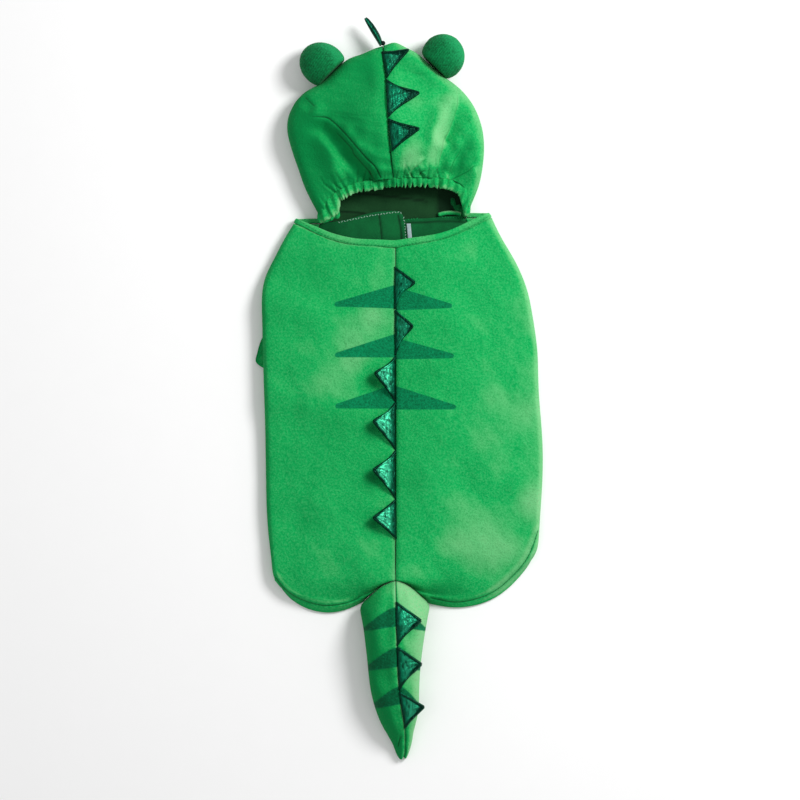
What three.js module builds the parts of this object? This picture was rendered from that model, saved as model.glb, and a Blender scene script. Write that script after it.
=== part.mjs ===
import * as THREE from "three";

// A two-piece dress-up costume for a dog, laid on a surface with its back up: a padded coat with a stuffed
// tail, and above its neck a hood with two ball eyes. Sizes are millimetres. X runs to the right across the
// coat, Y from the tail towards the hood, and Z up from the surface that it lies on.

// Driving sizes
const cloth = 3;
const seamGap = 0.3;
const tuckGap = 0.9;
const layerStep = cloth + seamGap;
const backSeam = -3;
const neckY = 154.5;
const tailSeamY = -202;
const bindingWidth = 7;
const bindingLift = 1.1;
const casingWidth = 10;
const casingThickness = 6;
const spikeCloth = 2.2;

const lerp = THREE.MathUtils.lerp;

function smooth(x) {
  return THREE.MathUtils.smoothstep(x, 0, 1);
}

// Rows of numbers with named columns
function table(columns, rows) {
  const names = columns.split(" ");
  return rows.map((row) => Object.fromEntries(names.map((name, i) => [name, row[i]])));
}

// The eased values of every column of a table whose first column is called at
function sectionAt(rows, at) {
  const next = rows.findIndex((row) => row.at >= at);
  const after = rows[next < 0 ? rows.length - 1 : Math.max(next, 1)];
  const before = rows[rows.indexOf(after) - 1];
  const share = smooth((at - before.at) / (after.at - before.at));
  const names = Object.keys(before);
  return Object.fromEntries(names.map((name) => [name, lerp(before[name], after[name], share)]));
}

// A smooth plan curve through a few points, as a function of its share of length
function curveThrough(points) {
  const curve = new THREE.SplineCurve(points.map(([x, y]) => new THREE.Vector2(x, y)));
  return (share) => curve.getPointAt(THREE.MathUtils.clamp(share, 0, 1));
}

// A plan surface ruled from the seam to the outer edge, with its first and last rows bent to given curves
function ruledPlan({ first, last, seam, edge }) {
  const bend = (curve, row, s) => curve(s).sub(seam(row).lerp(edge(row), s));
  return (s, t) => {
    const point = seam(t).lerp(edge(t), s);
    point.addScaledVector(bend(first, 0, s), (1 - t) ** 3);
    return point.addScaledVector(bend(last, 1, s), t ** 3);
  };
}

// The rim of a laid panel, from the top of its fold to its hidden edge: how far in from the outline, and
// how high. The cloth turns down by an angle and then runs straight for the length that is tucked under.
function rimProfile({ height, turn, tuck, raised }, arcSteps, tuckSteps) {
  const angle = THREE.MathUtils.degToRad(turn);
  const bottom = cloth * Math.max(0, Math.cos(angle));
  const radius = (height - bottom - tuck * Math.sin(angle)) / (1 - Math.cos(angle));
  const reach = turn > 90 ? radius : radius * Math.sin(angle) + tuck * Math.cos(angle);
  const profile = [];
  for (let i = 0; i <= arcSteps; i++) {
    const a = (angle * i) / arcSteps;
    const z = raised + height - radius * (1 - Math.cos(a));
    profile.push({ inset: reach - radius * Math.sin(a), z, beneath: a > Math.PI / 2 });
  }
  const foot = profile.at(-1);
  for (let i = 1; i <= tuckSteps; i++) {
    const run = (tuck * i) / tuckSteps;
    const inset = foot.inset - run * Math.cos(angle);
    profile.push({ inset, z: foot.z - run * Math.sin(angle), beneath: foot.beneath });
  }
  return profile;
}

// How deep the listed creases press a surface at a place; a negative depth is a ridge
function creaseDepth(creases, x, y) {
  const place = new THREE.Vector3(x, y, 0);
  let depth = 0;
  for (const { x1, y1, x2, y2, width, deep } of creases) {
    const line = new THREE.Line3(new THREE.Vector3(x1, y1, 0), new THREE.Vector3(x2, y2, 0));
    const nearest = line.closestPointToPoint(place, true, new THREE.Vector3());
    depth += deep * Math.exp(-((nearest.distanceTo(place) / width) ** 2));
  }
  return depth;
}

// One row of a half panel: over the top from the seam, round the fold and back beneath
function panelRow(half, t) {
  const { plan, edge, inward, sections, creases, side, topSteps, arcSteps, tuckSteps } = half;
  const section = { raised: 0, ...sectionAt(sections, t) };
  if (half.raised) {
    section.raised = half.raised(t);
  }
  const width = plan(0, t).distanceTo(plan(1, t));
  const rim = rimProfile(section, arcSteps, tuckSteps);
  const row = [];
  for (let i = 0; i < topSteps; i++) {
    const share = i / topSteps;
    const at = plan(share * (1 - rim[0].inset / width), t);
    const high = lerp(section.crown, section.height + section.raised, smooth(share));
    const puff = section.puff * Math.sin(Math.PI * share);
    const pressed = creaseDepth(creases, at.x, at.y) * smooth(4 * (1 - share));
    row.push(new THREE.Vector3(at.x, at.y, high + puff - pressed));
  }
  for (const { inset, z, beneath } of rim) {
    const at = beneath ? edge(t).addScaledVector(inward(t), inset) : plan(1 - inset / width, t);
    row.push(new THREE.Vector3(at.x, at.y, z));
  }
  row[0].x += (side * seamGap) / 2;
  return row;
}

// Unit normals of a grid of points, pointing out of the cloth: up, on its top. Where a vertex lies in a
// seam, its normal stays in the seam's plane, so that the wall beside it can't cross over.
function gridNormals(grid, inSeam) {
  const normals = grid.map((row, r) =>
    row.map((point, c) => {
      const down = (grid[r + 1] ?? row)[c].clone().sub((grid[r - 1] ?? row)[c]);
      const across = (row[c + 1] ?? point).clone().sub(row[c - 1] ?? point);
      const normal = across.cross(down);
      if (inSeam(r, c)) {
        normal.x = 0;
      }
      return normal.normalize();
    }),
  );
  const turned = Math.sign(normals[0][1].z);
  return normals.map((row) => row.map((normal) => normal.multiplyScalar(turned)));
}

// A closed geometry from points and faces, turned the right way out
function closedGeometry(points, faces) {
  let volume = 0;
  for (const [a, b, c] of faces) {
    volume += points[a].dot(points[b].clone().cross(points[c]));
  }
  const outward = volume > 0 ? faces : faces.map(([a, b, c]) => [a, c, b]);
  const geometry = new THREE.BufferGeometry();
  geometry.setAttribute("position", new THREE.Float32BufferAttribute(points.flatMap((p) => p.toArray()), 3));
  geometry.setIndex(outward.flat());
  geometry.computeVertexNormals();
  return geometry;
}

// A wall between two grids of points, closed all round its border
function wallBetween(outer, inner) {
  const rows = outer.length;
  const columns = outer[0].length;
  const points = [...outer.flat(), ...inner.flat()];
  const at = (r, c, layer) => layer * rows * columns + r * columns + c;
  const faces = [];
  const quad = (a, b, c, d) => faces.push([a, b, c], [a, c, d]);
  for (let r = 0; r + 1 < rows; r++) {
    for (let c = 0; c + 1 < columns; c++) {
      quad(at(r + 1, c, 0), at(r + 1, c + 1, 0), at(r, c + 1, 0), at(r, c, 0));
      quad(at(r, c + 1, 1), at(r + 1, c + 1, 1), at(r + 1, c, 1), at(r, c, 1));
    }
  }
  for (let c = 0; c + 1 < columns; c++) {
    quad(at(0, c, 0), at(0, c + 1, 0), at(0, c + 1, 1), at(0, c, 1));
    quad(at(rows - 1, c, 1), at(rows - 1, c + 1, 1), at(rows - 1, c + 1, 0), at(rows - 1, c, 0));
  }
  for (let r = 0; r + 1 < rows; r++) {
    quad(at(r, 0, 1), at(r + 1, 0, 1), at(r + 1, 0, 0), at(r, 0, 0));
    quad(at(r, columns - 1, 0), at(r + 1, columns - 1, 0), at(r + 1, columns - 1, 1), at(r, columns - 1, 1));
  }
  return closedGeometry(points, faces);
}

// A cloth wall that hangs inside its outer points
function clothWall(grid, inSeam) {
  const normals = gridNormals(grid, inSeam);
  const inner = grid.map((row, r) =>
    row.map((point, c) => {
      const inside = point.clone().addScaledVector(normals[r][c], -cloth);
      inside.z = Math.max(inside.z, 0);
      return inside;
    }),
  );
  return wallBetween(grid, inner);
}

// A flat piece: a grid of its underside's points, with a thickness above each of them
function layerOn(grid, thickness) {
  const top = grid.map((row) => row.map((point) => new THREE.Vector3(point.x, point.y, point.z + thickness)));
  return wallBetween(top, grid);
}

// A solid through closed loops of points, capped at both ends
function loftedLoops(loops) {
  const count = loops[0].length;
  const points = loops.flat();
  const faces = [];
  for (let k = 0; k + 1 < loops.length; k++) {
    for (let i = 0; i < count; i++) {
      const [a, b] = [k * count + i, k * count + ((i + 1) % count)];
      faces.push([a, b, b + count], [a, b + count, a + count]);
    }
  }
  const last = (loops.length - 1) * count;
  for (let i = 1; i + 1 < count; i++) {
    faces.push([0, i + 1, i], [last, last + i, last + i + 1]);
  }
  return closedGeometry(points, faces);
}

function evenly(count, from, to) {
  return Array.from({ length: count }, (_, i) => lerp(from, to, i / (count - 1)));
}

const costume = new THREE.Group();

const plush = { color: 0x16a84a, roughness: 0.92, metalness: 0 };
const lining = { color: 0x1c6b37, roughness: 0.9, metalness: 0 };
const foilCloth = { color: 0x04603a, roughness: 0.35, metalness: 0.35 };
const eyeCloth = { color: 0x0f7a40, roughness: 0.95, metalness: 0 };
const labelCloth = { color: 0xd9dcd6, roughness: 0.8, metalness: 0 };

function addPiece(name, geometry, finish) {
  const piece = new THREE.Mesh(geometry, new THREE.MeshStandardMaterial(finish));
  piece.name = name;
  costume.add(piece);
  return piece;
}

// Coat: the outline of each half from its neck corner down the side and round the hem to the tail
const coatOutline = {
  [-1]: curveThrough([
    [-106.6, 178], [-118, 160], [-131, 135], [-142, 110], [-143.4, 84], [-142.4, 34], [-140.3, -41],
    [-139, -117], [-136.8, -155], [-132.2, -190], [-128.6, -206], [-121, -216], [-104, -229.2],
    [-86, -235.8], [-72, -237], [-58, -235], [-38.6, -226.6],
  ]),
  1: curveThrough([
    [94, 184], [98.5, 178], [107, 160], [121.5, 135], [133, 110], [139.5, 84], [146, 40], [147.5, -3],
    [151.3, -54], [151.6, -92], [148.6, -142], [146.2, -167], [139, -184], [126, -201], [108, -217.5],
    [87, -227.6], [60, -232], [31.8, -227.4],
  ]),
};
const coatNeckline = {
  [-1]: curveThrough([[backSeam, neckY], [-40, 156], [-56, 158.5], [-72, 163], [-88, 170], [-106.6, 178]]),
  1: curveThrough([
    [backSeam, neckY], [14, 157], [38, 160.8], [54, 165.4], [70, 172.6], [85, 180], [94, 184],
  ]),
};

// The seam where the tail joins the coat: a low arch, the same on both pieces
const tailArchPower = 1.55;
const tailBase = { [-1]: { x: -38.6, y: -226.6 }, 1: { x: 31.8, y: -227.4 } };

function tailArchY(side, across) {
  return lerp(tailSeamY, tailBase[side].y, across ** tailArchPower);
}

function tailArch(side) {
  return (share) => new THREE.Vector2(lerp(backSeam, tailBase[side].x, share), tailArchY(side, share));
}

// Down each half: the height of its side, how far the cloth turns over there, the length that is tucked
// beneath, and the height at the back seam
const coatSections = {
  [-1]: table("at height turn tuck crown puff", [
    [0, 15, 180, 20, 20, 1.5],
    [0.13, 17, 180, 22, 20.5, 3],
    [0.26, 17, 180, 42, 19, 4],
    [0.42, 17, 180, 42, 19, 4],
    [0.54, 17, 180, 24, 19, 4],
    [0.7, 16, 180, 12, 20, 4],
    [0.79, 15, 96, 7, 21, 4],
    [0.87, 13, 34, 12, 23, 4],
    [0.95, 12.5, 32, 12, 26, 3],
    [1, 14, 45, 9, 27, 0],
  ]),
  1: table("at height turn tuck crown puff", [
    [0, 15, 180, 20, 20, 1.5],
    [0.13, 17, 180, 22, 20.5, 3],
    [0.3, 17, 180, 42, 19, 4],
    [0.5, 17, 180, 40, 19, 4],
    [0.58, 17, 180, 24, 19, 4],
    [0.65, 16, 180, 12, 20, 4],
    [0.73, 15, 96, 7, 21, 4],
    [0.82, 13, 34, 12, 23, 4],
    [0.94, 12.5, 32, 12, 26, 3],
    [1, 14, 45, 9, 27, 0],
  ]),
};

// The largest soft troughs of the coat
const coatCreases = table("x1 y1 x2 y2 width deep", [
  [-96, 118, -60, 60, 15, 1.6],
  [70, 96, 104, 30, 16, 1.5],
  [-84, -60, -104, -140, 17, 1.4],
  [66, -96, 98, -150, 16, 1.6],
]);

// The left side fold rides over the end of the belly strap
const strapCrossing = { from: 0.14, full: 0.184, level: 0.402, to: 0.446 };

function coatRaised(side) {
  return (t) => {
    const { from, full, level, to } = strapCrossing;
    const over = smooth((t - from) / (full - from)) * smooth((to - t) / (to - level));
    return side < 0 ? (layerStep + 0.2) * over : 0;
  };
}

// Rows crowd together along the seam towards the tail, because the outline is longer than the seam
const seamEase = 1.5;

function coatHalf(side) {
  const seam = (t) => new THREE.Vector2(backSeam, lerp(tailSeamY, neckY, (1 - t) ** seamEase));
  const edge = coatOutline[side];
  const last = tailArch(side);
  const inward = (t) => {
    const spoke = seam(t).sub(edge(t)).normalize();
    return new THREE.Vector2(-side, 0).lerp(spoke, t * t).normalize();
  };
  return {
    plan: ruledPlan({ first: coatNeckline[side], last, seam, edge }),
    edge,
    inward,
    side,
    sections: coatSections[side],
    creases: coatCreases,
    raised: coatRaised(side),
    topSteps: 10,
    arcSteps: 5,
    tuckSteps: 2,
  };
}

const rowAdvance = 528;
const bindingEnd = (bindingWidth - tuckGap) / rowAdvance;
const coatStart = (bindingWidth + seamGap) / rowAdvance;
const coatRows = 24;

for (const [side, name] of [[-1, "coat_back_left"], [1, "coat_back_right"]]) {
  const grid = evenly(coatRows, coatStart, 1).map((t) => panelRow(coatHalf(side), t));
  addPiece(name, clothWall(grid, (r, c) => c === 0), plush);
}

// Neck binding: a raised band round the whole back neckline and the two side folds
const bindingLoops = [];
for (const side of [-1, 1]) {
  const rows = [0, bindingEnd, 8 * bindingEnd].map((t) => panelRow(coatHalf(side), t));
  const normals = gridNormals(rows, (r, c) => c === 0);
  const loops = rows[0].map((edgePoint, c) => {
    const panelPoint = rows[1][c];
    const place = (share, out) => {
      const point = edgePoint.clone().lerp(panelPoint, share).addScaledVector(normals[1][c], out);
      point.z = Math.max(point.z, 0);
      return point;
    };
    return [place(1, 0.2), place(0.7, bindingLift), place(0.2, bindingLift), place(0, 0), place(0, -cloth),
      place(1, -cloth)];
  });
  bindingLoops.push(side < 0 ? loops.reverse() : loops.slice(1));
}
addPiece("neck_binding", loftedLoops(bindingLoops.flat()), plush);

// Where a tucked edge ends beneath the coat
function coatTuckEdge(side, t) {
  const point = panelRow(coatHalf(side), t).at(-1);
  point.x -= side * tuckGap;
  return point;
}

// Chest straps: the left one crosses over the right one, and both lie on the lower edge of the hood
function overThroat(x, y) {
  return layerStep * smooth((y - 128) / 26) * smooth((x + 88) / 20) * smooth((80 - x) / 20);
}

function overRightStrap(x) {
  return (layerStep + 0.7) * smooth((x + 78) / 30);
}

function strapGrid({ side, tuckFrom, tuckTo, top, bottom, end, corner, base }) {
  const rowShares = [0, 0.03, 0.1, 0.2, 0.3, 0.42, 0.6, 0.9, 1];
  return rowShares.map((v) => {
    const start = coatTuckEdge(side, lerp(tuckFrom, tuckTo, v));
    const nearEdge = Math.min(v, 1 - v) * (top - bottom);
    const cut = corner - Math.sqrt(Math.max(0, corner ** 2 - Math.max(0, corner - nearEdge) ** 2));
    const endX = lerp(end.top, end.bottom, v) + side * cut;
    return evenly(9, 0, 1).map((u) => {
      const x = lerp(start.x, endX, u);
      const bow = end.rise * smooth(u * 1.15) * (1 - v);
      const y = lerp(start.y, lerp(top, bottom, v), smooth(u * 2.5)) + bow;
      return new THREE.Vector3(x, y, base(x, y));
    });
  });
}

const chestStrapLeft = strapGrid({
  side: -1,
  tuckFrom: 0.01,
  tuckTo: 0.13,
  top: 172,
  bottom: 116,
  end: { top: 5.2, bottom: 10, rise: 13.5 },
  corner: 7,
  base: (x, y) => overRightStrap(x) + overThroat(x, y),
});
addPiece("chest_strap_left", layerOn(chestStrapLeft, cloth), lining);

const chestStrapRight = strapGrid({
  side: 1,
  tuckFrom: 0.008,
  tuckTo: 0.13,
  top: 179,
  bottom: 118,
  end: { top: -42, bottom: -40, rise: -2 },
  corner: 6,
  base: overThroat,
});
addPiece("chest_strap_right", layerOn(chestStrapRight, cloth), lining);

// The folded care label, blank, beside the left strap's end
const label = { x: 8.4, y: 150, width: 4.4, length: 22.6, thickness: 0.8 };
const labelGrid = evenly(5, label.y + label.length, label.y).map((y) =>
  evenly(2, label.x, label.x + label.width).map((x) => {
    const z = overThroat(x, y) + layerStep;
    return new THREE.Vector3(x + 0.09 * (label.y + label.length - y), y, z);
  }),
);
addPiece("label", layerOn(labelGrid, label.thickness), labelCloth);

// Belly strap: from the right tuck, under the coat and out past the left side
const bellyStrap = { width: 50, tipX: -151.6, tipY: 45, tuckFrom: 0.36, tuckTo: 0.47, corner: 12, sag: 6 };
const bellyGrid = evenly(9, 0, 1).map((v) => {
  const start = coatTuckEdge(1, lerp(bellyStrap.tuckFrom, bellyStrap.tuckTo, v));
  const edgeRun = Math.min(v, 1 - v) * bellyStrap.width;
  const inside = Math.max(0, bellyStrap.corner - edgeRun);
  const cut = bellyStrap.corner - Math.sqrt(bellyStrap.corner ** 2 - inside ** 2);
  const tip = new THREE.Vector2(
    bellyStrap.tipX + cut + (v < 0.5 ? 8 * (0.5 - v) : 0),
    bellyStrap.tipY + bellyStrap.width * (0.5 - v),
  );
  return evenly(14, 0, 1).map((u) => {
    const sag = bellyStrap.sag * Math.sin(Math.PI * u);
    return new THREE.Vector3(lerp(start.x, tip.x, u), lerp(start.y, tip.y, u) - sag, 0);
  });
});
addPiece("belly_strap", layerOn(bellyGrid, cloth), plush);

// Tail: stuffed, in two halves along its seam. Each station gives where the seam and the sides cross it,
// its reach to the left and right, and its height.
const tailStations = table("seamX seamY sideY left right high", [
  [-3, -202, -227.8, -38.6, 31.8, 25],
  [-2.8, -212, -236, -39.8, 31.6, 35],
  [-2.4, -230, -247, -37.6, 29.6, 43],
  [-1.8, -256, -263, -35.4, 26.9, 45],
  [-1, -284, -287, -32.6, 23.7, 43],
  [0.6, -312, -313, -29.9, 21.8, 39],
  [3.2, -334, -334, -25.2, 21.4, 34],
  [5.6, -350, -350, -19.6, 18.9, 28],
  [6.7, -362, -362, -13.4, 15.8, 22],
  [6.8, -374, -374, -6.8, 14, 16],
  [6.6, -383, -383, -2.4, 10.6, 11],
  [5.4, -388, -388, 1.2, 8, 7],
]);
const tailSteps = 10;
const tailFlat = 2.5;

function tailLoop({ seamX, seamY, sideY, left, right, high }, side, fromSeam) {
  const reach = side < 0 ? left : right;
  const foot = Math.min(tailFlat, high / 4);
  const loop = [];
  for (let i = 0; i <= tailSteps; i++) {
    const a = (Math.PI * i) / tailSteps;
    const across = Math.sin(a) ** 0.9;
    const z = (high + foot) * (0.5 + 0.5 * Math.cos(a)) - foot;
    const run = a < Math.PI / 2 ? across ** tailArchPower : 1;
    const start = seamX + side * (seamGap / 2);
    const x = lerp(start, reach, i === tailSteps ? 0 : across);
    loop.push(new THREE.Vector3(x, lerp(seamY, sideY, run) - fromSeam, Math.max(0, z)));
  }
  return loop;
}

for (const [side, name] of [[-1, "tail_left"], [1, "tail_right"]]) {
  const loops = tailStations.map((station, k) => tailLoop(station, side, k === 0 ? tuckGap : 0));
  addPiece(name, loftedLoops(loops), plush);
}

// Hood: the outline of each half from its neck corner up the side and over the crown
const hoodSeamFoot = [-5.2, 218];
const hoodMiddle = [-11.2, 283];
const hoodCrown = [-16.3, 358.6];
const hoodOutline = {
  [-1]: curveThrough([
    [-89.8, 190.6], [-98.2, 209.5], [-105.5, 230.5], [-112, 249.4], [-116.7, 269.3], [-115.4, 284],
    [-108.7, 298.7], [-97.1, 310.4], [-82.4, 318.7], [-68.8, 330.8], [-55.7, 342.8], [-42.5, 350.4],
    [-28.9, 355.8], hoodCrown,
  ]),
  1: curveThrough([
    [79.3, 195.5], [84.8, 212.6], [88.2, 230.5], [89.9, 249.4], [88.7, 267.2], [84.5, 283], [76.1, 299.8],
    [63.5, 314.5], [50.9, 323.9], [36.4, 335.2], [23.1, 348.1], [10, 355.4], [-3.7, 358.4], hoodCrown,
  ]),
};
const hoodNeckline = {
  [-1]: curveThrough([
    hoodSeamFoot, [-25.7, 216], [-45.7, 213.7], [-60, 207.5], [-74, 198.5], [-89.8, 190.6],
  ]),
  1: curveThrough([hoodSeamFoot, [14.2, 218.9], [34.1, 219], [54, 217.5], [70, 209], [79.3, 195.5]]),
};
const hoodSeamLow = curveThrough([hoodSeamFoot, [-8.6, 250], hoodMiddle]);
const hoodSeamHigh = curveThrough([hoodMiddle, [-13.1, 320.8], hoodCrown]);
const hoodSections = table("at height turn tuck crown puff", [
  [0, 22, 180, 14, 33, 2],
  [0.16, 27, 180, 24, 41, 4],
  [0.34, 30, 180, 28, 47, 4],
  [0.6, 31, 180, 26, 50, 3],
  [1, 30, 180, 24, 50, 2],
]);

// The hood's largest folds: troughs and, where deep is negative, the ridge that stands beside one
const hoodCreases = table("x1 y1 x2 y2 width deep", [
  [-86, 284, -55, 264, 9, 5],
  [-55, 264, -19, 217, 10, 8],
  [-62, 236, -44, 216, 12, 4],
  [60, 302, 50, 266, 7, 5],
  [50, 266, 35, 219, 7, 6],
  [42, 290, 38, 250, 8, -3],
  [69, 257, 54, 226, 6, 4],
  [86, 234, 62, 219, 5, 3],
]);

function hoodHalf(side) {
  const edge = hoodOutline[side];
  return {
    plan: ruledPlan({ first: hoodNeckline[side], last: hoodSeamHigh, seam: hoodSeamLow, edge }),
    edge,
    inward: (t) => hoodSeamLow(t).sub(edge(t)).normalize(),
    side,
    sections: hoodSections,
    creases: hoodCreases,
    topSteps: 9,
    arcSteps: 6,
    tuckSteps: 2,
  };
}

const hoodRows = 18;

function hoodGrid(side) {
  const grid = evenly(hoodRows, 0, 1).map((t) => panelRow(hoodHalf(side), t));
  for (const point of grid.at(-1).slice(1)) {
    point.x += (side * seamGap) / 2;
  }
  return grid;
}

for (const [side, name] of [[-1, "hood_left"], [1, "hood_right"]]) {
  addPiece(name, clothWall(hoodGrid(side), (r, c) => c === 0 || r === hoodRows - 1), plush);
}

// Throat: the hood's flat lower layer, between the two tucked edges, with the face opening above it
const throat = {
  lowerRows: table("y left right", [[165, -66, 56], [184, -64.3, 57.5], [190, -64.3, 54.5]]),
  tuckFrom: 0.06,
  faceAt: 0.36,
  faceDip: 12,
};

function throatTuck(side, t) {
  const point = panelRow(hoodHalf(side), t).at(-1);
  point.x -= side * (seamGap + 0.4);
  return point;
}

const throatEnds = [
  ...throat.lowerRows.map(({ y, left, right }) => [left, right].map((x) => new THREE.Vector3(x, y, 0))),
  ...evenly(6, throat.tuckFrom, throat.faceAt).map((t) => [throatTuck(-1, t), throatTuck(1, t)]),
];
const throatGrid = throatEnds.map(([left, right], r) =>
  evenly(9, 0, 1).map((u) => {
    const point = left.clone().lerp(right, u);
    point.y -= throat.faceDip * Math.sin(Math.PI * u) * (r / (throatEnds.length - 1));
    point.z = 0;
    return point;
  }),
);
addPiece("hood_throat", layerOn(throatGrid, cloth), lining);

// Casing: the gathered elastic band along the hood's neck edge
const gathers = 30;
const gatherSteps = 4;
const gatherLift = 1;
const casingRim = [];
for (const side of [-1, 1]) {
  const grid = hoodGrid(side).slice(0, 2);
  const normals = gridNormals(grid, (r, c) => c === 0);
  const rim = grid[0].map((point, c) => {
    const away = point.clone().sub(grid[1][c]).normalize();
    return { point, away, normal: normals[0][c] };
  });
  casingRim.push(...(side < 0 ? rim.reverse() : rim.slice(1)));
}
const rimLengths = [0];
casingRim.slice(1).forEach(({ point }, i) => {
  rimLengths.push(rimLengths[i] + point.distanceTo(casingRim[i].point));
});

function alongCasing(share) {
  const run = share * rimLengths.at(-1);
  const k = Math.min(Math.max(rimLengths.findIndex((length) => length >= run), 1), casingRim.length - 1);
  const between = (run - rimLengths[k - 1]) / (rimLengths[k] - rimLengths[k - 1]);
  const mix = (name) => casingRim[k - 1][name].clone().lerp(casingRim[k][name], between);
  return { point: mix("point"), away: mix("away").normalize(), normal: mix("normal").normalize() };
}

const casingLoops = evenly(gathers * gatherSteps + 1, 0, 1).map((share, i) => {
  const { point, away, normal } = alongCasing(share);
  const uneven = 0.75 + 0.25 * Math.sin(share * 47);
  const wave = uneven * Math.cos((2 * Math.PI * i) / gatherSteps);
  const middle = point.addScaledVector(away, 2 * seamGap + casingWidth / 2);
  middle.addScaledVector(normal, gatherLift * wave - cloth / 2);
  return evenly(7, 0, 2 * Math.PI).slice(0, 6).map((a) => {
    const thick = (casingThickness / 2) * (1 + 0.15 * wave);
    const spot = middle.clone().addScaledVector(away, (casingWidth / 2) * Math.cos(a));
    spot.addScaledVector(normal, thick * Math.sin(a));
    spot.z = Math.max(spot.z, 0);
    return spot;
  });
});
addPiece("hood_casing", loftedLoops(casingLoops), plush);

// Eyes: stuffed balls, each cut off flat where it is sewn to the hood
const eyeHeight = 38;
const eyes = table("side x y reachX reachY seamX1 seamY1 seamX2 seamY2 gap", [
  [-1, -79.3, 338.4, 24.6, 23.4, -82.4, 318.7, -55.7, 342.8, 1],
  [1, 46.7, 347, 22.8, 23.6, 46.7, 325, 23.1, 348.1, 1.8],
]);

for (const eye of eyes) {
  const start = new THREE.Vector2(eye.seamX1, eye.seamY1);
  const along = new THREE.Vector2(eye.seamX2, eye.seamY2).sub(start).normalize();
  const away = new THREE.Vector2(-along.y, along.x);
  if (away.dot(new THREE.Vector2(eye.x, eye.y).sub(start)) < 0) {
    away.negate();
  }
  const ball = new THREE.IcosahedronGeometry(1, 3);
  const place = ball.getAttribute("position");
  const points = [];
  const faces = [];
  const known = new Map();
  for (let i = 0; i < place.count; i++) {
    const unit = new THREE.Vector3().fromBufferAttribute(place, i);
    const key = unit.toArray().map((value) => value.toFixed(5)).join();
    if (!known.has(key)) {
      known.set(key, points.length);
      const z = Math.max(0, eyeHeight / 2 + unit.z * (eyeHeight / 2 + 1) - 0.5);
      const spot = new THREE.Vector2(eye.x + unit.x * eye.reachX, eye.y + unit.y * eye.reachY);
      const clear = away.dot(spot.clone().sub(start)) - eye.gap;
      spot.addScaledVector(away, Math.max(0, -clear));
      points.push(new THREE.Vector3(spot.x, spot.y, z));
    }
    if (i % 3 === 0) {
      faces.push([]);
    }
    faces.at(-1).push(known.get(key));
  }
  addPiece(eye.side < 0 ? "eye_left" : "eye_right", closedGeometry(points, faces), eyeCloth);
}

// Spikes: double cloth triangles in the seams, fallen to one side. Each has the ends of its base, its tip
// and how far the tip stands off the cloth below.
const spikes = table("group topX topY footX footY tipX tipY stand", [
  ["hood", -17.6, 350, -12.4, 323.6, 10.4, 352.5, 6],
  ["hood", -13.4, 320.4, -11, 281.5, 21.4, 306.4, 6],
  ["hood", -10.8, 277.6, -7, 246, 21.4, 268.4, 6],
  ["coat", -4.2, 125.5, -4.2, 82.8, 16.6, 110, 6],
  ["coat", -4, 80.2, -3.6, 34.6, 14.6, 64.2, 6],
  ["coat", -3.2, 31.8, -3, -14, -24, 14.7, 9],
  ["coat", -3, -16, -3, -64.4, -26, -35.4, 9],
  ["coat", -3, -66.6, -3, -115.8, -26, -86, 9],
  ["coat", -3, -118.2, -2, -157.6, -26, -136, 9],
  ["tail", -2.8, -224, -1.4, -267.6, 23.2, -242.8, 0],
  ["tail", -1.2, -270.6, 0.8, -314, 23.8, -288.6, 0],
  ["tail", 0.8, -318, 6.4, -355.8, 26.4, -334.2, 0],
]);
const spikeRows = 6;
const spikeColumns = 5;
const spikeClear = 0.8;
const carriers = {
  hood: ["hood_left", "hood_right"],
  coat: ["coat_back_left", "coat_back_right"],
  tail: ["tail_left", "tail_right"],
};
costume.updateMatrixWorld(true);

// The height of the cloth below a place, taken on both sides of a seam, or zero past the cloth's edge
function clothBelow(group, x, y) {
  const pieces = costume.children.filter(({ name }) => carriers[group].includes(name));
  const heights = [x - seamGap, x + seamGap].map((rayX) => {
    const ray = new THREE.Raycaster(new THREE.Vector3(rayX, y, 500), new THREE.Vector3(0, 0, -1));
    return ray.intersectObjects(pieces, false)[0]?.point.z ?? 0;
  });
  return Math.max(...heights);
}

const spikeCount = { hood: 1, coat: 0, tail: 0 };
for (const { group, topX, topY, footX, footY, tipX, tipY, stand } of spikes) {
  const middleX = (topX + footX) / 2;
  const rootZ = clothBelow(group, middleX, (topY + footY) / 2);
  const tipZ = Math.max(rootZ - 9, clothBelow(group, lerp(middleX, tipX, 0.8), tipY)) + stand;
  const grid = evenly(spikeRows, 0, 0.97).map((q) =>
    evenly(spikeColumns, 0, 1).map((p) => {
      const x = lerp(lerp(topX, footX, p), tipX, q);
      const y = lerp(lerp(topY, footY, p), tipY, q);
      const below = clothBelow(group, x, y);
      const root = clothBelow(group, lerp(topX, footX, p), lerp(topY, footY, p));
      const z = lerp(root, tipZ, q) + 1.5 * Math.sin(Math.PI * p) * (1 - q);
      return new THREE.Vector3(x, y, Math.max(z, below) + spikeClear);
    }),
  );
  spikeCount[group] += 1;
  addPiece(`${group}_spike_${spikeCount[group]}`, layerOn(grid, spikeCloth), foilCloth);
}

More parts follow.
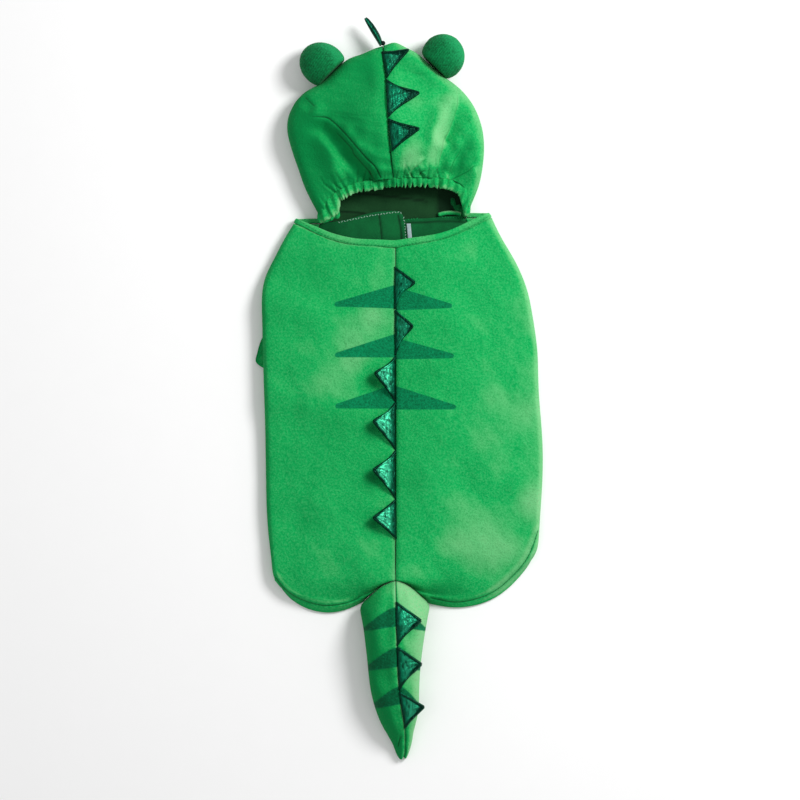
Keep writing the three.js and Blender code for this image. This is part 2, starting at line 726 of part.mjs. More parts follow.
// The first hood spike stands up off the crown, so it shows edge-on from above
const frontSpike = {
  rootX: -18.4, rootY: 359.1, low: 9, high: 27, tipX: -35.4, tipY: 387.9, tipZ: 20, thick: 4.6,
};
const frontLoops = evenly(6, 0, 0.97).map((q) => {
  const half = (frontSpike.thick / 2) * (1 - q) + 0.9;
  const x = lerp(frontSpike.rootX, frontSpike.tipX, q ** 1.2);
  const y = lerp(frontSpike.rootY, frontSpike.tipY, q);
  const low = lerp(frontSpike.low, frontSpike.tipZ - 1, q);
  const high = lerp(frontSpike.high, frontSpike.tipZ + 1, q);
  const middle = (low + high) / 2;
  return [[0, high], [half, lerp(middle, high, 0.6)], [half, lerp(middle, low, 0.6)], [0, low],
    [-half, lerp(middle, low, 0.6)], [-half, lerp(middle, high, 0.6)]].map(
    ([across, z]) => new THREE.Vector3(x + 0.85 * across, y + 0.52 * across + Math.abs(across) * 0.2, z),
  );
});
addPiece("hood_spike_1", loftedLoops(frontLoops), foilCloth);

export default costume;
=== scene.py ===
import math
import random

import bmesh
import bpy
import numpy as np
from mathutils import Matrix, Vector
from mathutils.bvhtree import BVHTree


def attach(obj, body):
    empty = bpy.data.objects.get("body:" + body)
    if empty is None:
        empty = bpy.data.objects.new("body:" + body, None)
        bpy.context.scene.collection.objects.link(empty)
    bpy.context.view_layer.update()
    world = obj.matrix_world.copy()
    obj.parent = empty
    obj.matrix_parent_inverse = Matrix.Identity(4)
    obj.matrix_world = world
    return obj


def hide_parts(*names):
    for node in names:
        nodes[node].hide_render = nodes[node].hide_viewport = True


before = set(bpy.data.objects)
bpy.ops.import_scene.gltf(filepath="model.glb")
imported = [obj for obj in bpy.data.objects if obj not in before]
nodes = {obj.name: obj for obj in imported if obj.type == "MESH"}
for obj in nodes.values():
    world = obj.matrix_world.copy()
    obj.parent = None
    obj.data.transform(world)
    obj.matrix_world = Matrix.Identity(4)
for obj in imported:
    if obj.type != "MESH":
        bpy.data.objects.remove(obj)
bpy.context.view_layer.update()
mm = 0.001
backSeamX = -3.0
print("frame loaded:", len(nodes), "nodes")


# Camera, floor and lights

photoView = {
    "centre": (1.6, -13.1),
    "width": 840.0,
    "distance": 3000.0,
    "level": 14.0,
}
floorSettings = {"colour": (0.9, 0.9, 0.9), "reach": 3.0}
lightSettings = {
    "sky": 0.57,
    "key": {"at": (1.15, 0.85, 1.3), "size": 0.7, "power": 34.0},
    "fill": {"at": (-1.0, -0.3, 2.0), "size": 1.2, "power": 3.0},
}


def addCamera():
    data = bpy.data.cameras.new("photoCamera")
    data.sensor_width = 36
    data.lens = data.sensor_width * photoView["distance"] / photoView["width"]
    data.clip_end = 20
    camera = bpy.data.objects.new("photoCamera", data)
    x, y = photoView["centre"]
    camera.location = Vector((x, y, photoView["distance"] + photoView["level"])) * mm
    bpy.context.scene.collection.objects.link(camera)
    bpy.context.scene.camera = camera


def addLight(name, at, size, power):
    data = bpy.data.lights.new(name, "AREA")
    data.shape = "DISK"
    data.size = size
    data.energy = power
    light = bpy.data.objects.new(name, data)
    light.location = at
    light.rotation_euler = (-Vector(at)).to_track_quat("-Z", "Y").to_euler()
    bpy.context.scene.collection.objects.link(light)


addCamera()
addLight("keyLight", **lightSettings["key"])
addLight("fillLight", **lightSettings["fill"])
world = bpy.data.worlds.new("studio")
world.use_nodes = True
world.node_tree.nodes["Background"].inputs["Color"].default_value = (1, 1, 1, 1)
world.node_tree.nodes["Background"].inputs["Strength"].default_value = lightSettings["sky"]
bpy.context.scene.world = world
bpy.context.scene.view_settings.view_transform = "Standard"


# Materials: a Wire is a socket with operators, a Look is a material under construction

class Wire:
    def __init__(self, look, socket):
        self.look = look
        self.socket = socket

    def math(self, operation, first, second):
        return self.look.node("ShaderNodeMath", {"operation": operation}, {0: first, 1: second})

    def __add__(self, other):
        return self.math("ADD", self, other)

    __radd__ = __add__

    def __sub__(self, other):
        return self.math("SUBTRACT", self, other)

    def __mul__(self, other):
        return self.math("MULTIPLY", self, other)

    def clamped(self):
        return self.math("MINIMUM", self.math("MAXIMUM", self, 0.0), 1.0)


class Look:
    def __init__(self, name):
        self.material = bpy.data.materials.new(name)
        self.material.use_nodes = True
        self.tree = self.material.node_tree
        self.tree.nodes.clear()
        self.place = self.node("ShaderNodeTexCoord", out="Object")

    def node(self, kind, settings=None, inputs=None, out=0):
        made = self.tree.nodes.new(kind)
        for name, value in (settings or {}).items():
            if name == "stops":
                self.setStops(made.color_ramp, value)
            else:
                setattr(made, name, value)
        for name, value in (inputs or {}).items():
            if isinstance(value, Wire):
                self.tree.links.new(value.socket, made.inputs[name])
            else:
                made.inputs[name].default_value = value
        return Wire(self, made.outputs[out])

    def setStops(self, ramp, stops):
        while len(ramp.elements) < len(stops):
            ramp.elements.new(0.5)
        for element, (position, level) in zip(ramp.elements, stops):
            element.position = position
            element.color = (level, level, level, 1)

    def noise(self, scale, detail, rough=0.5, vector=None):
        inputs = {"Vector": vector or self.place, "Scale": scale, "Detail": detail, "Roughness": rough}
        return self.node("ShaderNodeTexNoise", None, inputs, "Fac")

    def stretched(self, scale, turn):
        inputs = {"Vector": self.place, "Scale": scale, "Rotation": (0, 0, turn)}
        return self.node("ShaderNodeMapping", None, inputs)

    def levels(self, value, stops):
        return self.node("ShaderNodeValToRGB", {"stops": stops}, {0: value}, "Color")

    def mix(self, factor, first, second):
        first, second = [c if isinstance(c, Wire) else (*c, 1) for c in (first, second)]
        inputs = {0: factor, 6: first, 7: second}
        return self.node("ShaderNodeMix", {"data_type": "RGBA"}, inputs, 2)

    def field(self, name):
        return self.node("ShaderNodeAttribute", {"attribute_name": name}, None, "Fac")

    def ribs(self, inputs):
        return self.node("ShaderNodeTexWave", {"wave_type": "BANDS", "bands_direction": "X"}, inputs, "Fac")

    def shaded(self, colour, amount, dark):  # darker by the piece's own shade
        return self.mix(self.field("seamShade").clamped() * amount, colour, dark)

    def bump(self, height, distance, strength):
        inputs = {"Height": height, "Distance": distance, "Strength": strength}
        return self.node("ShaderNodeBump", None, inputs)

    def finish(self, inputs):
        shader = self.node("ShaderNodeBsdfPrincipled", None, inputs)
        output = self.tree.nodes.new("ShaderNodeOutputMaterial")
        self.tree.links.new(shader.socket, output.inputs["Surface"])
        return self.material


def paint(obj, *materials):
    obj.data.materials.clear()
    for material in materials:
        obj.data.materials.append(material)


plushSettings = {
    "deep": (0.0004, 0.205, 0.048),
    "base": (0.003, 0.375, 0.086),
    "pale": (0.29, 0.59, 0.29),
    "fleckPale": (0.10, 0.50, 0.18),
    "fleckDeep": (0.0004, 0.23, 0.050),
    "stripe": (0.0002, 0.115, 0.040),
    "stripeLight": (0.001, 0.25, 0.092),
    "seamAndShadeDark": (0.0015, 0.022, 0.006),
}


def plushLook(name, striped=True):
    look = Look(name)
    p = plushSettings
    clouds = look.noise(17, 3.0, 0.55)
    tufts = look.noise(470, 3.0, 0.62)
    pile = look.noise(1500, 2.0, 0.6)
    # Painted light: the painted light field takes the colour from deep, a shaded copy, through base to
    # pale, a lit copy, and brings out the pale flecks where it is high
    nap = look.field("nap") + (clouds - 0.5) * 0.2
    colour = look.mix(look.levels(nap, [(0.04, 0.0), (0.5, 1.0)]), p["deep"], p["base"])
    colour = look.mix(look.levels(nap, [(0.5, 0.0), (1.0, 1.0)]), colour, p["pale"])
    grain = tufts * 0.6 + pile * 0.4
    fleck = look.levels(grain + (nap - 0.5) * 0.06, [(0.46, 0.0), (0.64, 1.0)])
    hollow = look.levels(grain, [(0.36, 1.0), (0.5, 0.0)])
    colour = look.mix(fleck * (nap * 0.85).clamped(), colour, p["fleckPale"])
    colour = look.mix(hollow * 0.45, colour, p["fleckDeep"])
    if striped:
        edge = look.field("stripe") + (tufts - 0.5) * 1.1 + (pile - 0.5) * 0.8
        inside = look.levels(edge * 0.5 + 0.5, [(0.32, 0.0), (0.68, 1.0)])
        cloth = look.mix(look.levels(grain + (nap - 0.5) * 0.2, [(0.38, 0.0), (0.64, 1.0)]),
                         p["stripe"], p["stripeLight"])
        colour = look.mix(inside, colour, cloth)
    # A dark line along seams and crease lines, which is painted shade along the creases; the seamShade
    # field adds painted shade in the same dark colour
    line = look.levels(look.field("seamFar") * 0.2, [(0.0, 1.0), (0.17, 0.0)])
    shade = (look.field("seamShade") + line * 0.9).clamped()
    colour = look.mix(shade * 0.92, colour, p["seamAndShadeDark"])
    return look.finish({
        "Base Color": colour,
        "Roughness": 0.85,
        "Specular IOR Level": 0.08,
        "Sheen Weight": 0.05,
        "Sheen Roughness": 0.35,
        "Sheen Tint": (0.6, 1.0, 0.66, 1),
        "Normal": look.bump(pile * 0.5 + tufts, 0.0012, 0.8),
    })


liningSettings = {
    "base": (0.004, 0.038, 0.011),
    "light": (0.010, 0.062, 0.018),
    "seamAndShadeDark": (0.001, 0.012, 0.004),
    "strap": (0.0008, 0.066, 0.018),
    "strapLight": (0.003, 0.135, 0.034),
}


def liningLook(name, base, light):
    look = Look(name)
    ribs = look.ribs({"Vector": look.place, "Scale": 320.0, "Distortion": 1.4, "Detail": 1.0,
                      "Detail Scale": 2.0})
    cloud = look.noise(60, 3.0, 0.55)
    fuzz = look.noise(900, 2.0, 0.6)
    tone = cloud * 0.6 + fuzz * 0.4 + (ribs - 0.5) * 0.35
    colour = look.mix(look.levels(tone, [(0.28, 0.0), (0.72, 1.0)]), base, light)
    colour = look.shaded(colour, 0.9, liningSettings["seamAndShadeDark"])
    return look.finish({
        "Base Color": colour,
        "Roughness": 0.82,
        "Specular IOR Level": 0.1,
        "Sheen Weight": 0.04,
        "Normal": look.bump(ribs * 0.6 + fuzz * 0.4, 0.0006, 0.7),
    })


eyeSettings = {
    "base": (0.0004, 0.075, 0.020),
    "light": (0.001, 0.20, 0.056),
    "pale": (0.012, 0.33, 0.11),
    "ribScale": 132.0,
    "ribTurn": 0.62,
}


def eyeLook():
    look = Look("ribbedCloth")
    p = eyeSettings
    ribs = look.ribs({"Vector": look.stretched((1, 1, 1), p["ribTurn"]), "Scale": p["ribScale"],
                      "Distortion": 3.4, "Detail": 2.0, "Detail Scale": 2.4, "Detail Roughness": 0.6})
    cloud = look.noise(60, 3.0, 0.6)
    tufts = look.noise(430, 3.0, 0.65)
    fuzz = look.noise(1300, 2.0, 0.6)
    tone = ribs * 0.14 + tufts * 0.85 + cloud * 0.35 + fuzz * 0.35 - 0.37
    colour = look.mix(look.levels(tone, [(0.25, 0.0), (0.72, 1.0)]), p["base"], p["light"])
    # Painted highlight: the ribbed cloth goes paler where the painted light field is high
    lit = look.levels(look.field("nap") + (tufts - 0.5) * 0.6, [(0.55, 0.0), (1.0, 1.0)])
    colour = look.mix(lit * 0.55, colour, p["pale"])
    colour = look.shaded(colour, 0.8, plushSettings["seamAndShadeDark"])
    return look.finish({
        "Base Color": colour,
        "Roughness": 0.85,
        "Specular IOR Level": 0.1,
        "Sheen Weight": 0.02,
        "Normal": look.bump(ribs * 0.4 + tufts, 0.0009, 0.8),
    })


foilSettings = {
    "base": (0.0004, 0.085, 0.036),
    "light": (0.002, 0.21, 0.10),
    "dark": (0.0003, 0.008, 0.005),
    "glint": (0.05, 0.5, 0.27),
}


def foilLook():
    look = Look("crinkledFoilCloth")
    p = foilSettings
    crinkle = look.noise(190, 4.0, 0.6)
    folds = look.noise(1.0, 2.0, 0.5, look.stretched((430, 120, 120), 0.6))
    streaks = look.levels(crinkle * 0.55 + folds * 0.45, [(0.4, 0.0), (0.6, 1.0)])
    colour = look.mix(streaks, p["base"], p["light"])
    lit = look.levels(crinkle * 0.4 + folds * 0.6, [(0.34, 0.15), (0.5, 1.0)])
    # painted highlight where the glint field is set
    colour = look.mix(look.field("glint").clamped() * lit, colour, p["glint"])
    colour = look.mix(look.levels(folds, [(0.3, 1.0), (0.46, 0.0)]) * 0.55, colour, p["dark"])
    colour = look.shaded(colour, 0.95, p["dark"])
    return look.finish({
        "Base Color": colour,
        "Metallic": 0.55,
        "Specular Tint": (0.2, 0.95, 0.65, 1),
        "Roughness": 0.28 + crinkle * 0.18,
        "Normal": look.bump(crinkle * 0.6 + folds * 0.7, 0.0022, 0.9),
    })


def plainCloth(name, base, light, roughness, scale=900.0):
    look = Look(name)
    grain = look.noise(scale, 3.0, 0.6)
    return look.finish({
        "Base Color": look.mix(grain, base, light),
        "Roughness": roughness,
        "Specular IOR Level": 0.12,
        "Normal": look.bump(grain, 0.0003, 0.6),
    })


plush = plushLook("plush")
plushPlain = plushLook("plushPlain", striped=False)
lining = liningLook("lining", liningSettings["base"], liningSettings["light"])
strapLining = liningLook("strapLining", liningSettings["strap"], liningSettings["strapLight"])
ribbedCloth = eyeLook()
foil = foilLook()
overlockDark = plainCloth("darkOverlock", (0.0004, 0.0025, 0.0016), (0.001, 0.014, 0.009), 0.7)
threadGreen = plainCloth("greenThread", (0.001, 0.17, 0.04), (0.004, 0.28, 0.07), 0.6)
threadDeep = plainCloth("deepThread", (0.0006, 0.06, 0.018), (0.002, 0.12, 0.035), 0.7)
threadPale = plainCloth("paleThread", (0.10, 0.27, 0.18), (0.46, 0.64, 0.55), 0.6)
labelTape = plainCloth("labelTape", (0.16, 0.26, 0.27), (0.46, 0.54, 0.56), 0.55, 420.0)
print("materials made")


# Mesh helpers, all in millimetres

def readSpots(obj):
    spots = np.empty(len(obj.data.vertices) * 3)
    obj.data.vertices.foreach_get("co", spots)
    return spots.reshape(-1, 3) / mm


def writeSpots(obj, spots):
    obj.data.vertices.foreach_set("co", (spots * mm).ravel())
    obj.data.update()


def setField(obj, name, values):
    have = obj.data.attributes
    field = have.get(name) or have.new(name, "FLOAT", "POINT")
    field.data.foreach_set("value", np.asarray(values, np.float32))


def addObject(name, bm):
    for face in bm.faces:
        face.smooth = True
    mesh = bpy.data.meshes.new(name)
    bm.to_mesh(mesh)
    bm.free()
    obj = bpy.data.objects.new(name, mesh)
    bpy.context.scene.collection.objects.link(obj)
    return obj


def settle(obj):  # applies the modifiers
    bpy.context.view_layer.update()
    graph = bpy.context.evaluated_depsgraph_get()
    mesh = bpy.data.meshes.new_from_object(obj.evaluated_get(graph))
    obj.modifiers.clear()
    obj.data = mesh
    mesh.name = obj.name


def subdivide(obj, levels):  # smooth, and still through the CAD's own points
    aim = readSpots(obj)
    control = aim.copy()
    modifier = obj.modifiers.new("smooth", "SUBSURF")
    modifier.levels = 2
    modifier.render_levels = 2
    for _ in range(2):
        graph = bpy.context.evaluated_depsgraph_get()
        made = obj.evaluated_get(graph).to_mesh()
        smoothed = np.empty(len(made.vertices) * 3)
        made.vertices.foreach_get("co", smoothed)
        smoothed = smoothed.reshape(-1, 3)[:len(aim)] / mm
        obj.evaluated_get(graph).to_mesh_clear()
        control += aim - smoothed
        writeSpots(obj, control)
    modifier.levels = levels
    modifier.render_levels = levels
    settle(obj)


def copyOf(nodeName, sharp=55):
    bm = bmesh.new()
    bm.from_mesh(nodes[nodeName].data)
    bmesh.ops.remove_doubles(bm, verts=bm.verts, dist=0.01 * mm)
    bmesh.ops.join_triangles(bm, faces=bm.faces, angle_face_threshold=math.pi,
                             angle_shape_threshold=math.pi)
    bm.normal_update()
    hard = bm.edges.layers.float.new("crease_edge")  # cut edges stay where they are
    for edge in bm.edges:
        edge[hard] = float(edge.calc_face_angle(0) > math.radians(sharp))
    return bm


def markInside(bm, middle):  # the faces that look into the piece take the second material
    tree = BVHTree.FromBMesh(bm)
    up = Vector((0, 0, 1))
    for face in bm.faces:
        normal = face.normal
        centre = face.calc_center_median()
        if abs(normal.z) < 0.5:
            towards = Vector((*middle, 0)) * mm - centre
            face.material_index = int(normal.x * towards.x + normal.y * towards.y > 0)
            continue
        crossings = 0
        start = centre + normal * 0.1 * mm
        for _ in range(6):
            hit = tree.ray_cast(start, up)[0]
            if hit is None:
                break
            crossings += 1
            start = hit + up * 0.02 * mm
        low = normal.z > 0 and centre.z < 5 * mm
        face.material_index = int(low or crossings > 0 if normal.z > 0 else crossings == 2)


def smoothLine(points):  # a curve through the points
    steps = 8
    points = [np.array(p, float) for p in points]
    ends = [2 * points[0] - points[1], *points, 2 * points[-1] - points[-2]]
    line = []
    for a, b, c, d in zip(ends, ends[1:], ends[2:], ends[3:]):
        for i in range(steps):
            t = i / steps
            line.append(0.5 * (2 * b + (c - a) * t + (2 * a - 5 * b + 4 * c - d) * t * t
                               + (3 * b - a - 3 * c + d) * t ** 3))
    return np.array([*line, points[-1]])


def nearLine(spots, line):  # distance to a line, side of it, run along it, length, nearest points
    nearest = np.full(len(spots), 1e9)
    feet = spots[:, :2].copy()
    side = np.zeros(len(spots))
    run = np.zeros(len(spots))
    start = 0.0
    for a, b in zip(line[:-1], line[1:]):
        step = (b - a)[:2]
        length = np.hypot(*step)
        share = np.clip(((spots[:, :2] - a[:2]) @ step) / length ** 2, 0, 1)
        off = spots[:, :2] - a[:2] - share[:, None] * step
        distance = np.hypot(off[:, 0], off[:, 1])
        closer = distance < nearest
        nearest[closer] = distance[closer]
        feet[closer] = spots[closer, :2] - off[closer]
        run[closer] = start + share[closer] * length
        side[closer] = np.sign(step[0] * off[closer, 1] - step[1] * off[closer, 0])
        start += length
    return nearest, side, run, start, feet


def drawTo(spots, line, reach=1.3, pull=0.85):  # brings the mesh's points close to a sharp line
    distance, _, run, length, feet = nearLine(spots, line)
    weight = pull * bell(distance, reach) * ramp(run, 0, 3) * ramp(length - run, 0, 3)
    spots[:, :2] += (feet - spots[:, :2]) * weight[:, None]


def insideField(spots, corners, rounding=0.0):  # mm inside a closed outline, negative outside
    line = np.array([*corners, corners[0]], float)
    nearest = nearLine(spots, line)[0]
    x, y = spots[:, :2].T
    inside = np.zeros(len(spots), bool)
    for (ax, ay), (bx, by) in zip(line[:-1], line[1:]):
        if ay != by:
            inside ^= ((y > ay) != (y > by)) & (x < ax + (y - ay) * (bx - ax) / (by - ay))
    return np.where(inside, nearest, -nearest) + rounding


def bell(distance, width):
    return np.exp(-((distance / width) ** 2))


def around(spots, x, y, size):  # 1 at a place, less with the distance from it
    return bell(np.hypot(spots[:, 0] - x, spots[:, 1] - y), size)


def ramp(values, low, high):
    share = np.clip((values - low) / (high - low), 0, 1)
    return share * share * (3 - 2 * share)


# The columns of the tables below
waveSet = "high length count seed between"
softFold = "line deep left right"
sharpFold = "line away drop slope flat back lip lipAt lipWidth groove grooveWidth ink ends"


def rows(names, table):  # one dictionary a row, under the named columns
    return [dict(zip(names.split(), row)) for row in table]


def waves(spots, length, count, seed):  # a seeded soft relief about 1 high
    dice = random.Random(seed)
    total = np.zeros(len(spots))
    for _ in range(count):
        angle = dice.uniform(0, math.tau)
        pace = math.tau / (length * dice.uniform(0.7, 1.5))
        along = spots[:, 0] * math.cos(angle) + spots[:, 1] * math.sin(angle)
        total += np.sin(along * pace + dice.uniform(0, math.tau))
    return total / math.sqrt(count)


def seamWaves(spots, fromSeam, side, table):  # waves that rise between two distances from a seam
    return sum(w["high"] * waves(spots, w["length"], w["count"], w["seed"] + side)
               * ramp(fromSeam, *w["between"]) for w in table)


def puckers(run, distance, reach, *ripples):  # pulls along a seam, each a height, a pace and a phase
    pulls = sum(high * np.sin(run / pace + phase) for high, pace, phase in ripples)
    return pulls * np.exp(-distance / reach)


def folded(spots, creases):  # the relief of drawn folds, and the distance to their sharp lines
    shift = np.zeros(len(spots))
    far = np.full(len(spots), 6.0)
    for crease in creases:
        line = smoothLine(crease["line"])
        distance, side, run, length, _ = nearLine(spots, line)
        start, end = crease.get("ends", (12, 12))
        fade = ramp(run, 0, start) * ramp(length - run, 0, end) if start else 1.0
        if "deep" in crease:
            width = np.where(side > 0, crease["left"], crease["right"])
            shift -= crease["deep"] * bell(distance, width) * fade
            continue
        below = distance * side * crease["away"]
        slope = crease["slope"]
        foot = slope + crease["flat"]
        step = ramp(below, 0, slope) * (1 - ramp(below, foot, foot + crease["back"]))
        shift -= crease["drop"] * step * fade
        shift += crease["lip"] * bell(-below - crease["lipAt"], crease["lipWidth"]) * fade
        shift -= crease["groove"] * bell(distance, crease["grooveWidth"]) * fade
        # painted shade along the sharp fold lines, set by each fold's shade strength
        far = np.minimum(far, 0.62 * distance + 0.85 * (1 - crease["ink"] * fade))
    return shift, far


def surfaceOf(*objs):
    trees = [BVHTree.FromObject(obj, bpy.context.evaluated_depsgraph_get()) for obj in objs]

    def height(x, y, default=0.0):
        found = [t.ray_cast(Vector((x, y, 300)) * mm, Vector((0, 0, -1)))[0] for t in trees]
        return max([hit.z / mm for hit in found if hit] or [default])

    return height


paintedLightSettings = {"towards": (0.82, 0.57), "waves": 0.025}


# Painted light: this field makes the plush paler where the cloth faces the key light at the upper right and
# darker where it faces away, with the given paler and darker patches added
def setPaintedLight(obj, patches=(), extra=0.0, level=0.42, gain=0.8):  # paler where the cloth turns upper right
    normals = np.empty(len(obj.data.vertices) * 3)
    obj.data.vertices.foreach_get("normal", normals)
    normals = normals.reshape(-1, 3)
    spots = readSpots(obj)
    towards = paintedLightSettings["towards"]
    nap = level + gain * (normals[:, 0] * towards[0] + normals[:, 1] * towards[1])
    nap += paintedLightSettings["waves"] * waves(spots, 34, 6, 3) + extra
    for x, y, size, amount in patches:
        nap += amount * around(spots, x, y, size)
    setField(obj, "nap", np.clip(nap, 0, 1))


def plushFields(obj):  # what the plush reads, where a piece has not set it
    have = obj.data.attributes
    for name, value in (("stripe", -9.0), ("seamShade", 0.0), ("seamFar", 6.0)):
        if name not in have:
            setField(obj, name, np.full(len(obj.data.vertices), value))
    if "nap" not in have:
        setPaintedLight(obj)


def dress(obj, replaced, slotName, *materials):
    paint(obj, *materials)
    if materials[0] in (plush, plushPlain, ribbedCloth):
        plushFields(obj)
    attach(obj, "root")
    if replaced:
        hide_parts(*replaced)
    return obj


def stitchRow(name, line, height, thread, settings, slotName="plush"):
    bm = bmesh.new()
    length, gap, radius, lift = [settings[key] for key in ("length", "gap", "radius", "lift")]
    slant = settings.get("slant", 0.0)
    steps = np.hypot(*np.diff(line[:, :2], axis=0).T)
    runs = np.concatenate([[0], np.cumsum(steps)])
    count = int(runs[-1] / (length + gap))
    for i in range(count):
        run = (i + 0.5) * runs[-1] / count
        x, y = [np.interp(run, runs, line[:, axis]) for axis in (0, 1)]
        ahead = [np.interp(run + 0.5, runs, line[:, axis]) for axis in (0, 1)]
        angle = math.atan2(ahead[1] - y, ahead[0] - x)
        z = height(x, y)
        tilt = math.atan2(height(*ahead) - z, 0.5)
        tilt = max(-0.7, min(0.7, tilt))
        turn = Matrix.Rotation(angle + (slant if i % 2 else -slant), 4, "Z")
        turn = turn @ Matrix.Rotation(-tilt, 4, "Y")
        size = Matrix.Diagonal((length / 2, radius, radius * 0.8, 1))
        place = Matrix.Translation(Vector((x, y, z + lift)) * mm)
        bmesh.ops.create_uvsphere(bm, u_segments=6, v_segments=4, radius=mm,
                                  matrix=place @ turn @ size)
    obj = addObject(name, bm)
    return dress(obj, (), slotName, thread)


# Coat: the two back panels, with their stripes, soft creases and hem

coatSettings = {
    "levels": 3,
    "arch": {-1: [(-3, -202), (-14, -206), (-24, -213.5), (-32, -221.5), (-38.6, -226.6)],
             1: [(-3, -202), (7, -206), (17.5, -213), (24.5, -219.5), (31.8, -227.4)]},
    "seamDip": 1.1,
    "seamWidth": 2.2,
    "waves": rows(waveSet, [(0.6, 70, 7, 11, (2, 30)), (0.13, 17, 9, 31, (2, 14))]),
    "nap": {-1: 0.46, 1: 0.44},
    "stripes": [
        [(107.6, 82.4), (-67.2, 87.2), (105.5, 80.3), (56.2, 85.6)],
        [(56.2, 31.5), (-66.7, 34.1), (52.0, 29.3), (58.3, 33.1)],
        [(3.7, -22.2), (-66.2, -19.4), (1.6, -23.2), (60.4, -20.5)],
    ],
    "tipDepth": 5.0,
    "hem": {
        -1: [(-129.5, -199), (-119, -212), (-103, -222.5), (-80, -229), (-60, -227.5), (-46, -223),
             (-40.5, -219.5)],
        1: [(34, -221), (60, -225.6), (85, -221.2), (104.5, -211.8), (121.5, -196.5), (134, -181),
            (141.5, -165), (146.5, -150)],
    },
    "hemDip": 1.0,
    "spikeShadows": {-1: [(-27, 6), (-28, -44), (-28, -95), (-26, -143)], 1: []},
    # Patches of painted light, paler and darker; among the darker ones are painted shadows under the spike
    # tips and painted shade where the coat meets the tail
    "paintedLightPatches": {
        -1: [(-26, 114, 19, 0.10), (-29, 70, 17, 0.22), (-52, 48, 19, 0.14), (-47, 25, 17, 0.18),
             (-79, 1, 26, 0.14), (-112, 115, 34, -0.1), (-14, -87, 14, -0.16), (-72, -181, 30, 0.1),
             (-28, 4, 10, -0.34), (-29, -45, 11, -0.36), (-29, -96, 11, -0.34), (-27, -143, 10, -0.3),
             (-60, -60, 34, -0.05), (-38, -220, 9, -0.34)],
        1: [(75, -160, 40, 0.16), (144, -118, 20, 0.26), (106, -176, 30, 0.16), (23, -165, 14, -0.08),
            (52, -214, 18, -0.22), (120, 60, 34, 0.08), (134, -20, 30, 0.14), (16, -100, 14, -0.1),
            (38, -217, 9, -0.2), (90, -60, 40, 0.06)],
    },
    "creases": {
        -1: rows(softFold, [
            ([(-12, 64), (-34, 60), (-62, 66)], 0.7, 8, 10),
            ([(-14, -4), (-40, -10), (-70, -2)], 0.5, 9, 9),
            ([(-128, 20), (-110, -6), (-112, -40)], 0.9, 8, 10),
            ([(-40, -196), (-62, -188), (-96, -196)], 0.8, 10, 8),
        ]),
        1: rows(softFold, [
            ([(132, 36), (112, 10), (118, -30)], 0.9, 9, 8),
            ([(10, -10), (36, -16), (58, -6)], 0.5, 9, 9),
            ([(130, -60), (108, -92), (112, -130)], 0.9, 10, 8),
            ([(30, -194), (60, -184), (96, -196)], 0.8, 8, 10),
        ]),
    },
}


def coatStripes(spots, side):
    field = np.full(len(spots), -9.0)
    rounding = 2.2
    for leftSeam, leftTip, rightSeam, rightTip in coatSettings["stripes"]:
        (top, bottom), (tipX, tipY) = (leftSeam, leftTip) if side < 0 else (rightSeam, rightTip)
        half = coatSettings["tipDepth"] / 2 - rounding
        tipX -= side * rounding
        corners = [(backSeamX, top - rounding), (tipX, tipY + half), (tipX, tipY - half),
                   (backSeamX - side * 9, bottom + rounding), (backSeamX - side * 9, top - rounding)]
        field = np.maximum(field, insideField(spots, corners, rounding))
    return np.clip(field, -9, 9)


def makeCoat(side, name, nodeName):
    p = coatSettings
    bm = copyOf(nodeName)
    markInside(bm, (side * 70, -30))
    obj = addObject(name, bm)
    paint(obj, plush, lining)
    subdivide(obj, p["levels"])
    spots = readSpots(obj)
    x, y, z = spots.T
    top = ramp(z, 5, 11)
    fromSeam = np.abs(x - backSeamX)
    shift = seamWaves(spots, fromSeam, side, p["waves"]) + folded(spots, p["creases"][side])[0]
    shift -= p["seamDip"] * bell(fromSeam, p["seamWidth"])
    shift += puckers(y, fromSeam, 7, (0.16, 7.3, 0), (0.112, 3.1, 1.2))
    hem = smoothLine(p["hem"][side])
    drawTo(spots, hem, 1.3, 0.75)
    fromHem, _, hemRun = nearLine(spots, hem)[:3]
    shift -= p["hemDip"] * bell(fromHem, 1.5)
    shift += puckers(hemRun, fromHem, 4, (0.22, 1.9, 0), (0.22, 0.83, 1))
    z += shift * top
    writeSpots(obj, spots)
    setField(obj, "stripe", coatStripes(spots, side))
    fromArch = nearLine(spots, smoothLine(p["arch"][side]))[0]
    setField(obj, "seamFar", np.minimum(fromSeam + 0.1, 0.7 * fromHem + 0.25))
    shade = 0.12 * bell(fromSeam, 3.0) + 0.5 * bell(fromArch, 1.6)
    # painted shadows of the spikes that stand off the coat's left panel
    for at in p["spikeShadows"][side]:
        shade += 0.3 * around(spots, *at, 6)
    setField(obj, "seamShade", shade)
    # painted highlight in a band beside the hem stitch line
    rimHighlight = 0.2 * ramp(z, 1, 5) * bell(fromHem - 3.4, 2.6)
    setPaintedLight(obj, p["paintedLightPatches"][side], rimHighlight, p["nap"][side], 0.38)
    return dress(obj, [nodeName], "plush", plush, lining)


coatLeft = makeCoat(-1, "coatLeft", "coat_back_left")
coatRight = makeCoat(1, "coatRight", "coat_back_right")
coatHeight = surfaceOf(coatLeft, coatRight)
topStitch = {"length": 2.7, "gap": 0.9, "radius": 0.36, "lift": 0.1}
for side, name in ((-1, "hemStitchLeft"), (1, "hemStitchRight")):
    stitchRow(name, smoothLine(coatSettings["hem"][side]), coatHeight, threadDeep, topStitch)
print("coat made:", len(coatLeft.data.polygons), len(coatRight.data.polygons), "faces")


# Neck binding, straps and label

